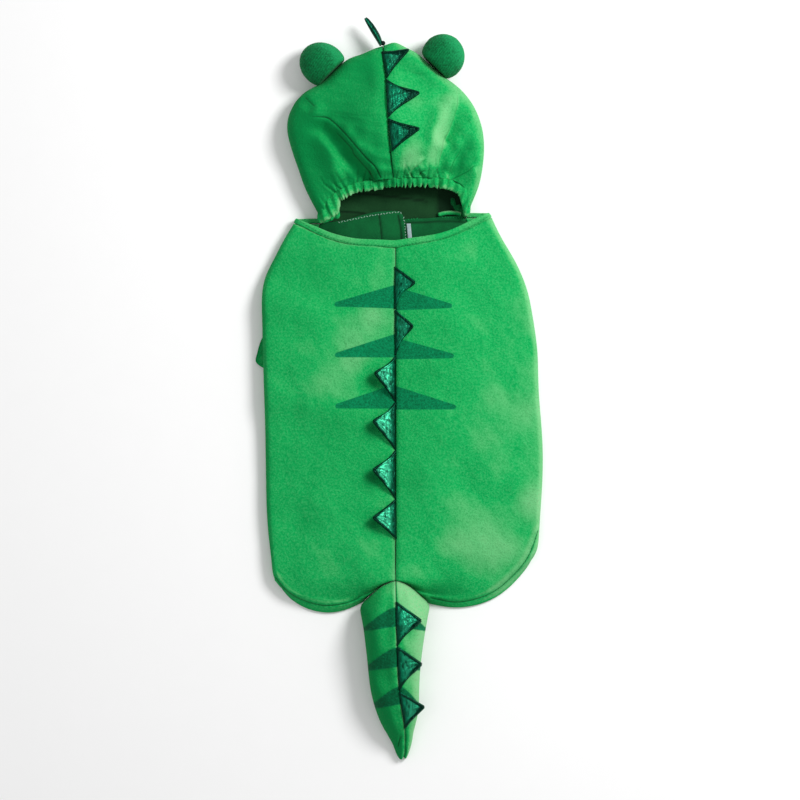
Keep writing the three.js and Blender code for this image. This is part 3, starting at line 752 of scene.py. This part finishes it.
bindingSettings = {
    "levels": 2,
    "overlap": 1.6,
    "lift": 1.0,
    "stitch": [(-104, 174.5), (-88.5, 165.5), (-72, 157.5), (-55.5, 152.6), (-40, 150), (-3, 148.2),
               (14, 150.6), (38, 154.4), (54, 159), (70, 166.2), (86, 174.2), (94, 179.6)],
}
strapSettings = {
    "overlock": {"length": 2.6, "gap": 0.35, "radius": 0.42, "lift": 0.2, "slant": 0.75},
    "leftEdge": [(-64, 173.5), (-46, 177.2), (-30, 180.5), (-4, 184.2), (2.2, 183.6), (4.9, 180.5),
                 (6.3, 172), (7.4, 160), (8, 153)],
    "rightEdge": [(9, 176.6), (26, 178.4), (43, 179.4), (74, 178.6), (92, 182)],
    "panelSeams": [[(-20.5, 182), (-18.6, 168), (-17, 150)], [(-0.5, 181), (2.2, 168), (3.6, 150)]],
}


def copyPiece(name, nodeName, levels, slotName, *materials, sharp=55):
    bm = copyOf(nodeName, sharp)
    if len(materials) > 1:  # the upper sides of what is tucked beneath
        for face in bm.faces:
            low = face.calc_center_median().z < 6 * mm and face.normal.z > 0.3
            face.material_index = int(low)
    obj = addObject(name, bm)
    paint(obj, *materials)
    subdivide(obj, levels)
    setField(obj, "seamShade", np.zeros(len(obj.data.vertices)))
    return dress(obj, [nodeName], slotName, *materials)


def shadeAlong(obj, lines, width, amount):  # dark seams; the points near them are returned, drawn to them
    spots = readSpots(obj)
    lines = [smoothLine(line) for line in lines]
    for line in lines:
        drawTo(spots, line)
    shade = np.max([amount * bell(nearLine(spots, line)[0], width) for line in lines], axis=0)
    setField(obj, "seamShade", shade)
    return spots


neckBinding = copyPiece("neckBinding", "neck_binding", bindingSettings["levels"], "plush", plush, lining)
spots = readSpots(neckBinding)
stitchLine = smoothLine(bindingSettings["stitch"])
fromStitch, _, stitchRun = nearLine(spots, stitchLine)[:3]
y, z = spots.T[1:]
z -= (0.2 * bell(fromStitch, 1.3) - puckers(stitchRun, fromStitch, 4, (0.18, 1.7, 0))) * ramp(z, 5, 11)
z += bindingSettings["lift"] * bell(fromStitch, 2.4) * ramp(z, 5, 11)
y -= bindingSettings["overlap"] * bell(fromStitch, 3.2)
writeSpots(neckBinding, spots)
shadeAlong(neckBinding, [bindingSettings["stitch"]], 1.0, 0.18)
setPaintedLight(neckBinding, (), 0.0, 0.52, 0.12)
stitchRow("bindingStitch", stitchLine, surfaceOf(neckBinding, coatLeft, coatRight), threadGreen, topStitch)

strapLeft = copyPiece("chestStrapLeft", "chest_strap_left", 3, "lining", strapLining)
spots = shadeAlong(strapLeft, strapSettings["panelSeams"], 0.9, 0.9)
z = spots.T[2]
for line in strapSettings["panelSeams"]:
    z -= 0.8 * bell(nearLine(spots, smoothLine(line))[0], 1.2) * ramp(z, 6, 9)
writeSpots(strapLeft, spots)
strapRight = copyPiece("chestStrapRight", "chest_strap_right", 2, "lining", strapLining)
shadeAlong(strapRight, [[(6, 173.5), (26, 174), (50, 175), (74, 174.5), (92, 177.5)]], 0.8, 0.7)
strapHeight = surfaceOf(strapLeft, strapRight)
stitchRow("strapOverlockLeft", smoothLine(strapSettings["leftEdge"]), strapHeight, threadPale,
          strapSettings["overlock"], "lining")
stitchRow("strapOverlockRight", smoothLine(strapSettings["rightEdge"]), strapHeight, threadGreen,
          strapSettings["overlock"], "lining")
label = copyPiece("careLabel", "label", 2, "label_cloth", labelTape)
bellyStrap = copyPiece("bellyStrap", "belly_strap", 2, "plush", plush)
spots = readSpots(bellyStrap)
x, y = spots[:, :2].T
x += 0.25 * np.clip(y - 25.5, -4, 40) * ramp(-x, 118, 142)
writeSpots(bellyStrap, spots)
stitchRow("bellyStitch", smoothLine([(-140.5, 50), (-144.5, 38), (-147.6, 28), (-144, 24)]),
          surfaceOf(bellyStrap), threadGreen, topStitch)
print("straps and binding made")


# Tail: two stuffed halves with curved stripes

tailSettings = {
    "levels": 3,
    "seam": [(-3, -202), (-2.8, -212), (-2.4, -230), (-1.8, -256), (-1, -284), (0.6, -312),
             (3.2, -334), (5.6, -350), (6.7, -362), (6.8, -374), (6.6, -383), (5.4, -388)],
    "stripes": [(-228.5, -248.6, -251.0, -254.5), (-270, -290.8, -291.8, -296.6),
                (-311.2, -330.5, -331.5, -337)],
    "sides": {-1: [-36.5, -33.5, -26.5], 1: [28.5, 24.5, 21.8]},
    "pleat": [(1.9, -367), (0.6, -371.5), (-0.3, -377)],
    "waves": rows(waveSet, [(0.9, 34, 7, 51, (1, 12))]),
    "archJoin": 1.1,
    "tipReach": 3.2,
    "tipNotch": 0.7,
}


def tailStripes(spots, side):
    p = tailSettings
    field = np.full(len(spots), -9.0)
    for (top, bottom, sideTop, sideBottom), edge in zip(p["stripes"], p["sides"][side]):
        seamX = np.interp(-(top + bottom) / 2, [-y for _, y in p["seam"]], [x for x, _ in p["seam"]])
        shares = [i / 10 for i in range(11)]
        upper = [(seamX + (edge - seamX) * t, top + (sideTop - top) * t ** 1.45) for t in shares]
        lower = [(seamX + (edge - seamX) * t, bottom + (sideBottom - bottom) * t ** 1.2)
                 for t in reversed(shares)]
        beyond = [(edge * 1.6, sideTop - 4), (edge * 1.6, sideBottom - 4)]
        back = [(seamX - side * 4, bottom), (seamX - side * 4, top)]
        field = np.maximum(field, insideField(spots, [*upper, *beyond, *lower, *back]))
    return np.clip(field, -9, 9)


def makeTail(side, name, nodeName):
    p = tailSettings
    obj = addObject(name, copyOf(nodeName))
    subdivide(obj, p["levels"])
    spots = readSpots(obj)
    pleat = smoothLine(p["pleat"])
    if side < 0:
        drawTo(spots, pleat)
    fromSeam, _, run = nearLine(spots, smoothLine(p["seam"]))[:3]
    fromArch = nearLine(spots, smoothLine(coatSettings["arch"][side]))[0]
    fromPleat = nearLine(spots, pleat)[0]
    y, z = spots.T[1:]
    top = ramp(z, 3, 9)
    shift = seamWaves(spots, fromSeam, side, p["waves"]) * ramp(fromArch, 2, 12)
    shift += puckers(run, fromSeam, 5, (0.3, 3.4, 0), (0.3, 2.1, 0))
    shift -= 1.0 * bell(fromSeam, 1.6) + 1.2 * bell(fromPleat, 1.6) * (side < 0)
    z += shift * top
    y += p["archJoin"] * bell(fromArch, 3)
    y -= p["tipReach"] * ramp(-y, 374, 388) * (1 - p["tipNotch"] * bell(fromSeam, 1.8))
    writeSpots(obj, spots)
    stripes = tailStripes(spots, side)
    setField(obj, "stripe", stripes)
    # Dark lines along the seam and arch, and painted shade along the pleat; painted shade over the arch and
    # the stripes
    fromPleat = nearLine(spots, pleat)[0] + 9 * (side > 0)
    setField(obj, "seamFar", np.minimum(np.minimum(fromSeam, fromArch) + 0.1, 0.7 * fromPleat + 0.15))
    setField(obj, "seamShade", np.maximum(0.4 * bell(fromArch, 1.6), 0.4 * ramp(stripes, -0.6, 0.6)))
    setPaintedLight(obj)
    dress(obj, [nodeName], "plush", plush)
    return obj


tailLeft = makeTail(-1, "tailLeft", "tail_left")
tailRight = makeTail(1, "tailRight", "tail_right")
print("tail made:", len(tailLeft.data.polygons), "faces a half")


# Hood: two panels, the throat below, the gathered casing and the ball eyes

hoodSettings = {
    "levels": 3,
    "seam": [(-5.2, 218), (-8.6, 250), (-11.2, 283), (-13.1, 320.8), (-16.3, 358.6)],
    "neckline": {
        -1: [(-5.2, 218), (-25.7, 216), (-45.7, 213.7), (-60, 207.5), (-74, 198.5), (-89.8, 190.6)],
        1: [(-5.2, 218), (14.2, 218.9), (34.1, 219), (54, 217.5), (70, 209), (79.3, 195.5)],
    },
    "creases": {
        -1: [*rows(softFold + " ends", [
            ([(-86, 284), (-55, 264)], -5, 9, 9, (0, 0)),
            ([(-55, 264), (-19, 217)], -8, 10, 10, (0, 0)),
            ([(-80.3, 257.8), (-67.7, 232.6), (-58.3, 214.7)], -2.4, 5, 7, (20, 4)),
            ([(-96, 262), (-84, 232), (-74, 208)], 0.9, 7, 7, (12, 12)),
        ]), *rows(sharpFold, [
            ([(-101.3, 282.4), (-77.4, 281.9), (-68.8, 277.5), (-58.3, 267.2), (-46.1, 253.2),
             (-34.8, 240.1), (-24.3, 229.6), (-17.3, 216.8)], -1, 7.5, 13, 1.5, 11, 0.8, 5, 5, 0.9, 1.3,
             0.95, (26, 3)),
            ([(-68.8, 270.6), (-49.6, 249.7), (-46.1, 242.8), (-32.1, 227), (-24.3, 215.8)], -1, 0.8, 2, 0,
             5, 0, 0, 1, 0.8, 1.4, 0.75, (14, 2)),
            ([(-99.8, 306.1), (-91.9, 297.7), (-85, 290.9)], -1, 1.3, 3, 1, 9, 0, 0, 1, 0.9, 1.2, 0.75,
             (5, 5)),
            ([(-97.4, 288.9), (-74, 287.6), (-50.4, 282.8), (-28.9, 279.8)], -1, 1.0, 4, 1, 7, 0, 0, 1,
             0.5, 1.6, 0.25, (10, 20)),
        ])],
        1: [*rows(softFold + " ends", [
            ([(-6, 290), (12, 300), (34, 300)], 0.6, 5, 5, (12, 12)),
            ([(6, 330), (24, 326), (44, 328)], 0.8, 2.2, 4, (12, 12)),
            ([(68.8, 268.3), (78, 268), (88.7, 269.3)], 0.6, 1.8, 2.6, (6, 6)),
            ([(68.8, 260.9), (79, 263), (89.2, 263)], 0.7, 1.8, 2.6, (6, 6)),
            ([(67.7, 248.3), (79, 248), (89.8, 249.4)], 0.7, 1.8, 2.8, (6, 6)),
            ([(70.9, 242), (80, 244.5), (89.8, 244.1)], 0.6, 1.6, 2.4, (6, 6)),
            ([(73, 276.7), (76.5, 280.5), (79.7, 285.1)], -1.0, 1.6, 1.6, (3, 3)),
        ]), *rows(sharpFold, [
            ([(60.4, 312.4), (61.7, 299.4), (60.4, 289.9), (56.2, 277.7), (51.5, 266.3), (47.1, 257.8),
             (45.3, 247.5), (42.4, 236.1), (40.1, 226.7), (32.6, 215.5)], 1, 1.8, 1.8, 5, 12, 3.4, 9, 8,
             1.1, 1.4, 0.45, (14, 3)),
            ([(68.4, 260.6), (64.6, 247.5), (58.9, 238), (54.2, 227.6), (52.4, 220.2), (47.7, 212.6)], 1,
             1.6, 2, 2, 9, 1.4, 4, 4, 1.0, 1.3, 0.5, (16, 2)),
            ([(87.3, 232.4), (78.8, 231.4), (72.1, 225.8), (60.8, 220.2), (51.5, 216.4)], -1, 2.0, 4, 2, 8,
             2.4, 5, 5, 1.0, 1.4, 0.6, (12, 3)),
            ([(12.7, 220.2), (14.2, 225.8), (19.4, 230.5), (28.9, 238)], 1, 0.0, 2, 1, 4, 1.8, -3, 2.6,
             1.2, 1.2, 0.4, (2, 8)),
            ([(20.3, 219.2), (23.6, 224.2), (28.8, 226.7)], 1, 0.6, 2, 1, 4, 1.3, -3, 2.2, 1.3, 1.1, 0.7,
             (2, 4)),
        ])],
    },
    "seamSlope": {-1: 2.6, 1: 0.8},
    # painted light level of each half: the left half is painted darker
    "nap": {-1: 0.16, 1: 0.35},
    "gain": 0.42,
    "waves": rows(waveSet, [(0.8, 46, 7, 71, (2, 20)), (0.12, 13, 9, 91, (2, 10))]),
    "corner": {-1: (-89.8, 190.6, 9.0, -15.0), 1: (79.3, 195.5, -5.0, -9.0)},
    "underThroat": (60, 200, 0.8),
    "crown": [(-4, 358, 3.4, 9), (-37, 350, -2.4, 13)],
    # patches of painted light, paler and darker
    "paintedLightPatches": {
        -1: [(-63, 226, 9, 0.20), (-27, 290, 14, 0.06), (-88, 262, 26, -0.14), (-58, 252, 12, -0.12),
             (-42, 228, 12, -0.18), (-40, 340, 22, -0.16), (-14, 345, 9, -0.1), (-60, 310, 26, 0.06)],
        1: [(14, 239, 16, 0.44), (5, 228, 10, 0.16), (52, 298, 9, 0.18), (49, 284, 10, 0.2),
            (45, 270, 10, 0.2), (40, 256, 10, 0.2), (36, 242, 9, 0.16),
            (66, 236, 12, -0.16), (74, 250, 12, -0.10), (-6, 268, 8, -0.1), (30, 336, 20, -0.10),
            (84, 214, 12, 0.14)],
    },
}

# Tucks of the gathered neck edge, shared by the hood and its casing
tuckSettings = {
    "seed": 8,
    "gap": (3.6, 10.0),
    "deep": (0.3, 1.5),
    "width": (0.7, 1.35),
    "reach": (4, 15),
    "lean": (-0.5, 0.5),
    "drawn": [(27.6, 1.9, 1.0, 15, 0.35), (33.5, 1.5, 0.9, 11, 0.3), (68.5, 1.7, 1.1, 12, 0.2),
              (110.5, 1.6, 1.0, 12, 0.5), (126.5, 1.4, 1.2, 12, -0.1)],
}
necklineAll = smoothLine([*hoodSettings["neckline"][-1][::-1], *hoodSettings["neckline"][1][1:]])


def makeTucks():
    p = tuckSettings
    dice = random.Random(p["seed"])
    tucks = list(p["drawn"])
    at = 2.0
    while at < 176:
        deep, *rest = [dice.uniform(*p[name]) for name in ("deep", "width", "reach", "lean")]
        tucks.append((at, deep * (0.35 if at > 146 else 1.0), *rest))
        at += dice.uniform(*p["gap"])
    return tucks


def gathered(spots):  # the tucks' relief, their dark folds and how far a spot is above the neckline
    distance, side, run = nearLine(spots, necklineAll)[:3]
    above = distance * side
    shift = np.zeros(len(spots))
    shade = np.zeros(len(spots))
    for at, deep, width, reach, lean in makeTucks():
        off = run - at + lean * np.clip(above, 0, reach)
        fade = np.exp(-np.clip(above, 0, None) / reach) * ramp(above, -13, -8)
        fade *= 1 - ramp(above, reach, 1.8 * reach)
        beside = bell(off - 2.1 * width, 1.3 * width) + bell(off + 2.1 * width, 1.3 * width)
        shift += (0.42 * beside - bell(off, width)) * deep * fade
        shade = np.maximum(shade, min(1.0, 0.62 * deep) * bell(off, 0.6 * width) * fade)
    return shift, shade, above


def makeHood(side, name, nodeName):
    p = hoodSettings
    bm = copyOf(nodeName)
    markInside(bm, (side * 45 - 8, 275))
    obj = addObject(name, bm)
    paint(obj, plushPlain, lining)
    subdivide(obj, p["levels"])
    spots = readSpots(obj)
    for crease in p["creases"][side]:
        if "ink" in crease:
            drawTo(spots, smoothLine(crease["line"]))
    x, y, z = spots.T
    top = ramp(z, 9, 18)
    fromSeam = nearLine(spots, smoothLine(p["seam"]))[0]
    tucks, shade, _ = gathered(spots)
    relief, far = folded(spots, p["creases"][side])
    shift = seamWaves(spots, fromSeam, side, p["waves"]) + relief + tucks
    shift -= 1.2 * bell(fromSeam, 2.0) + p["seamSlope"][side] * bell(fromSeam, 8)
    shift += puckers(y, fromSeam, 5, (0.2, 2.6, 0))
    z += shift * top
    *at, moveX, moveY = p["corner"][side]
    weight = around(spots, *at, 11)
    x += moveX * weight
    y += moveY * weight
    *at, sink = p["underThroat"]
    z -= sink * ramp(z, 0.5, 2) * (1 - ramp(z, 3.2, 4.2)) * around(spots, *at, 15)
    for atX, atY, rise, width in p["crown"]:
        y += rise * bell(x - atX, width) * ramp(y, atY - 16, atY)
    writeSpots(obj, spots)
    setField(obj, "seamFar", np.minimum(far + 6 * (1 - top), fromSeam + 0.1))
    setField(obj, "seamShade", shade * top)
    setPaintedLight(obj, p["paintedLightPatches"][side], 0.0, p["nap"][side], p["gain"])
    return dress(obj, [nodeName], "plush", plushPlain, lining)


hoodLeft = makeHood(-1, "hoodLeft", "hood_left")
hoodRight = makeHood(1, "hoodRight", "hood_right")
throatSettings = {
    "seams": [[(-64.6, 185.5), (-48.8, 184.8), (-35.2, 183.2)],
              [(-56.2, 204.8), (-31.6, 203.8), (1.6, 200), (29.9, 196.3)],
              [(41.5, 210), (42.1, 191.6), (41, 176)]],
    "band": [(41.6, 181.6), (47.8, 183.4), (54.1, 184), (60.2, 183.8), (66.2, 182.4)],
    "bandRadius": 2.3,
    "reach": 11.5,
    "leftReach": 5.5,
}
hoodThroat = copyPiece("hoodThroat", "hood_throat", 3, "lining", lining)
spots = shadeAlong(hoodThroat, throatSettings["seams"], 1.1, 0.85)
x, y, z = spots.T
shade = np.maximum(0.8 * ramp(x, 38, 43), 0.75 * ramp(y, 198, 216))
for line in throatSettings["seams"]:
    fromLine = nearLine(spots, smoothLine(line))[0]
    shade = np.maximum(shade, 0.85 * bell(fromLine, 1.1))
    z += 0.5 * bell(fromLine - 2, 1.4) * ramp(z, 1, 3)
z += 0.35 * waves(spots, 22, 6, 17) * ramp(z, 1, 3)
x += throatSettings["reach"] * ramp(x, 38, 55)
x -= throatSettings["leftReach"] * ramp(-x, 50, 64)
setField(hoodThroat, "seamShade", shade)
writeSpots(hoodThroat, spots)

casingSettings = {
    "rimMove": 2.0,
    "relief": 0.22,
    "overlap": 1.3,
    "leftEnd": (4.0, -9.0),
    "rightEnd": (-4.0, -7.0),
}
hoodCasing = copyPiece("hoodCasing", "hood_casing", 2, "plush", plushPlain, lining, sharp=180)
spots = readSpots(hoodCasing)
tucks, shade, above = gathered(spots)
x, y, z = spots.T
top = ramp(z, 6, 14)
rim = ramp(-above, 4, 10) * top
z += casingSettings["relief"] * tucks * top
y += casingSettings["overlap"] * bell(above + 0.8, 1.8) * top
y -= casingSettings["rimMove"] * tucks * rim
for weight, move in ((ramp(200 - y, 0, 10) * ramp(-x, 58, 67), casingSettings["leftEnd"]),
                     (ramp(205 - y, 0, 12) * ramp(x, 56, 66), casingSettings["rightEnd"])):
    x += move[0] * weight
    y += move[1] * weight
writeSpots(hoodCasing, spots)
setField(hoodCasing, "seamShade", np.maximum(0.5 * shade * top, 0.7 * (1 - top) * ramp(x, 46, 52)))
setField(hoodCasing, "seamFar", np.abs(above + 1.1) + 0.5 + 5 * (1 - top))
# painted highlight along the casing's lower rim
setPaintedLight(hoodCasing, (), 0.42 * rim, 0.34, 0.22)
eyeLeft = copyPiece("eyeLeft", "eye_left", 2, "eye_cloth", ribbedCloth, sharp=180)
eyeRight = copyPiece("eyeRight", "eye_right", 2, "eye_cloth", ribbedCloth, sharp=180)
spots = readSpots(eyeLeft)
x, y = spots[:, :2].T
x -= 0.12 * (y - np.median(y))
writeSpots(eyeLeft, spots)
print("hood made:", len(hoodLeft.data.polygons), len(hoodCasing.data.polygons), "faces")


# Spikes: double foil cloth with dark overlocked edges

spikeSettings = {
    "cells": 22,
    "bulge": 1.6,
    "crinkle": 0.5,
    "edgeRadius": 1.05,
    "layerStep": 1.6,
    "root": 2.2,
    "allowance": 1,
    "clear": {"hood": 1.1, "coat": 1.0, "tail": 1.6},
    # the dark bands along the upper and the lower edge, and how much wider they get towards the tip
    "bands": {"hood": (2.4, 1.8, 5.0), "coat": (1.5, 1.8, 0.3), "tail": (1.4, 3.0, 0.6)},
    "carriers": {"hood": ["hoodRight"], "coat": ["coatLeft", "coatRight"], "tail": ["tailRight"]},
    "glints": {"coat_spike_3": 0.85, "coat_spike_4": 0.9, "coat_spike_5": 0.95, "coat_spike_6": 0.9,
               "coat_spike_2": 0.16, "hood_spike_2": 0.2, "tail_spike_1": 0.22, "tail_spike_2": 0.2,
               "tail_spike_3": 0.3},
    "list": [  # node, top and foot of its base, tip, how far the tip stands up, bow of each edge
        ("hood_spike_2", (-17.6, 350), (-12.4, 323.6), (10.4, 352.5), 6, 0.05, 0.1),
        ("hood_spike_3", (-13.4, 320.4), (-11, 281.5), (21.4, 306.4), 6, 0.12, 0.08),
        ("hood_spike_4", (-10.8, 277.6), (-7, 246), (21.4, 268.4), 6, 0.05, 0.05),
        ("coat_spike_1", (-4.2, 125.5), (-4.2, 82.8), (16.6, 110), 6, 0.0, 0.3),
        ("coat_spike_2", (-4, 80.2), (-3.6, 34.6), (14.6, 64.2), 6, 0.0, 0.2),
        ("coat_spike_3", (-3.2, 31.8), (-3, -14), (-24.4, 14.9), 12, 0.1, 0.05),
        ("coat_spike_4", (-3, -16), (-3, -64.4), (-26, -35.4), 12, 0.12, 0.04),
        ("coat_spike_5", (-3, -66.6), (-3, -115.8), (-26, -86), 12, 0.1, 0.05),
        ("coat_spike_6", (-3, -118.2), (-2, -157.6), (-26, -136), 12, 0.04, 0.03),
        ("tail_spike_1", (-2.8, -224), (-1.4, -267.6), (23.2, -242.8), 3, 0.0, 0.1),
        ("tail_spike_2", (-1.2, -270.6), (0.8, -314), (23.8, -288.6), 3, 0.0, 0.1),
        ("tail_spike_3", (0.8, -318), (6.4, -355.8), (26.4, -334.2), 3, 0.0, 0.05),
    ],
}


def tube(bm, path, radius, sides, material):
    before = set(bm.faces)
    rings = []
    last = len(path) - 1
    for i, spot in enumerate(path):
        ahead = Vector(path[min(i + 1, last)]) - Vector(path[max(i - 1, 0)])
        turn = ahead.to_track_quat("Z", "X").to_matrix().to_4x4()
        size = radius * (0.55 if i in (0, last) else 1.0)
        made = bmesh.ops.create_circle(bm, cap_ends=i in (0, last), segments=sides, radius=size * mm,
                                       matrix=Matrix.Translation(Vector(spot) * mm) @ turn)
        ring = {e for v in made["verts"] for e in v.link_edges}
        if rings:
            bmesh.ops.bridge_loops(bm, edges=[*rings[-1], *ring])
        rings.append(ring)
    added = [f for f in bm.faces if f not in before]
    for face in added:
        face.material_index = material
    bmesh.ops.recalc_face_normals(bm, faces=added)


def spikeLayer(place, cells):
    bm = bmesh.new()
    bmesh.ops.create_grid(bm, x_segments=cells, y_segments=cells, size=0.5)
    for v in bm.verts:
        v.co = Vector(place(v.co.x + 0.5, v.co.y + 0.5)) * mm
    bmesh.ops.remove_doubles(bm, verts=bm.verts, dist=0.02 * mm)
    bmesh.ops.recalc_face_normals(bm, faces=bm.faces)
    if sum(f.normal.z for f in bm.faces) < 0:
        bmesh.ops.reverse_faces(bm, faces=bm.faces)
    bmesh.ops.solidify(bm, geom=bm.faces, thickness=0.6 * mm)
    return bm


def makeSpike(nodeName, top, foot, tip, stand, topCurve, footCurve, seed):
    p = spikeSettings
    group, _, number = nodeName.split("_")
    height = carriers[group]
    dice = random.Random(seed)
    phases = [dice.uniform(0, math.tau) for _ in range(4)]
    top, foot, tip = [np.array(v, float) for v in (top, foot, tip)]
    middle = (top + foot) / 2

    def clothAt(x, y):
        return max(height(x - 0.8, y), height(x + 0.8, y))

    rootZ = clothAt(*middle)
    tipCloth = height(*(middle * 0.2 + tip * 0.8), rootZ - 9)
    tipZ = max(rootZ - 9, tipCloth) + stand

    def place(along, out):
        bow = 4 * out * (1 - out)
        share = topCurve * bow + along * (1 - (topCurve + footCurve) * bow)
        x, y = (top * (1 - share) + foot * share) * (1 - out) + tip * out
        rim = math.sin(math.pi * share)
        rise = p["root"] * math.sin(math.pi * min(1, out * 2.2) / 2)
        z = clothAt(*(top * (1 - share) + foot * share)) * (1 - out) + tipZ * out
        z += (rise + p["bulge"] * rim) * (1 - out)
        across = along * 9 + out * 4
        wrinkle = (math.sin(across * 2.3 + phases[0] + 3 * out) + math.sin(across * 4.1 + phases[1])
                   + 0.7 * math.sin(out * 17 + phases[2] + along * 5)
                   + 0.6 * math.sin(across * 7.7 - out * 11 + phases[3]))
        z += p["crinkle"] * wrinkle * rim ** 0.5 * min(1, out * 5) * (1 - out) ** 0.4
        return x, y, max(z, height(x, y, 0) + p["clear"][group])

    bm = spikeLayer(place, p["cells"])
    shiftOut = (tip - middle) / np.hypot(*(tip - middle))
    steps = [i / 26 for i in range(27)]
    for lower, extra in ((0.0, 0.0), (p["layerStep"], 1.0)):
        for along in (0.0, 1.0):
            path = []
            for q in steps:
                x, y, z = place(along, q * 0.985)
                path.append((x + extra * shiftOut[0] * q, y + extra * shiftOut[1] * q
                             + extra * (0.9 if along == 0 else -0.9) * (1 - q), z - lower * min(1, q * 3)))
            tube(bm, path, p["edgeRadius"] * (0.9 if extra else 1.0), 6, 1)
    obj = addObject(f"{group}Spike{number}", bm)
    spots = readSpots(obj)
    away = np.array([top[1] - foot[1], foot[0] - top[0]])
    out = np.abs((spots[:, :2] - top) @ away) / abs((tip - top) @ away)
    inner = insideField(spots, [top, tip, foot])
    upperBand, lowerBand, spread = p["bands"][group]
    uneven = 1 + 0.22 * np.sin(inner * 1.1 + spots[:, 1] / 1.9 + seed) + spread * out * out
    upper, lower = [nearLine(spots, np.array([end, tip]))[0] for end in (top, foot)]
    band = np.maximum(1 - ramp(upper / uneven, 0.6 * upperBand, upperBand),
                      1 - ramp(lower / uneven, 0.6 * lowerBand, lowerBand))
    # Painted highlight: glint lightens the middle of the spikes, most on those that lean towards the key
    # light; painted shade along the root
    setField(obj, "glint", p["glints"].get(nodeName, 0.05) * ramp(out, 0.16, 0.34) * (1 - band))
    setField(obj, "seamShade", np.maximum(0.85 * (1 - ramp(out, 0.05, 0.17)), 0.95 * band))
    reach, base = [float(np.hypot(*v)) + 2 * p["allowance"] for v in (tip - middle, foot - top)]
    2 * reach * mm
    base * mm
    reach * base * mm * mm
    return dress(obj, [nodeName], "foil_cloth", foil, overlockDark)


carriers = {
    "coat": coatHeight,
    "hood": surfaceOf(hoodLeft, hoodRight),
    "tail": surfaceOf(tailLeft, tailRight),
}
for seed, row in enumerate(spikeSettings["list"]):
    makeSpike(*row, seed)
frontSettings = {
    "axis": [(-18.4, 359.1), (-20.6, 364.3), (-24.4, 371.4), (-30, 379.8), (-35.4, 387.9)],
    "widths": [(0, 0.5), (0.12, 0.78), (0.3, 1.12), (0.5, 1.42), (0.72, 1.72), (0.9, 1.8), (1, 1.4)],
    "knot": {"at": (-16.2, 360.2, 25), "radius": 2.5},
}
frontSpike = copyPiece("hoodSpike1", "hood_spike_1", 3, "foil_cloth", foil)
spots = readSpots(frontSpike)
axis = smoothLine(frontSettings["axis"])
distance, side, run, length, _ = nearLine(spots, axis)
ahead = axis[-1] - axis[0]
across = np.array([-ahead[1], ahead[0]]) / np.hypot(*ahead)
wider = np.interp(run / length, *zip(*frontSettings["widths"]))
spots[:, :2] += (distance * side * (wider - 1))[:, None] * across
writeSpots(frontSpike, spots)
rim = distance * wider
setField(frontSpike, "seamShade", np.maximum(ramp(rim, 0.2, 0.9), 1 - ramp(spots[:, 2], 12, 16)))
bm = bmesh.new()
knot = frontSettings["knot"]
bmesh.ops.create_icosphere(bm, subdivisions=3, radius=knot["radius"] * mm,
                           matrix=Matrix.Translation(Vector(knot["at"]) * mm))
dress(addObject("spikeKnot", bm), (), "foil_cloth", overlockDark)
print("spikes made")


# The casing of the hood's lower layer, seen past the end of the throat

bm = bmesh.new()
bandPath = [(x, y, 4.7) for x, y in smoothLine(throatSettings["band"])]
tube(bm, bandPath, throatSettings["bandRadius"], 12, 0)
lowerCasing = dress(addObject("lowerCasing", bm), (), "plush", plushPlain)


# Floor

bm = bmesh.new()
bmesh.ops.create_grid(bm, x_segments=2, y_segments=2, size=floorSettings["reach"])
floor = addObject("floor", bm)
floorLook = Look("paleFloor")
grain = floorLook.noise(40, 3.0)
low = [0.985 * c for c in floorSettings["colour"]]
paint(floor, floorLook.finish({
    "Base Color": floorLook.mix(grain, low, floorSettings["colour"]),
    "Roughness": 0.9,
    "Specular IOR Level": 0.1,
}))
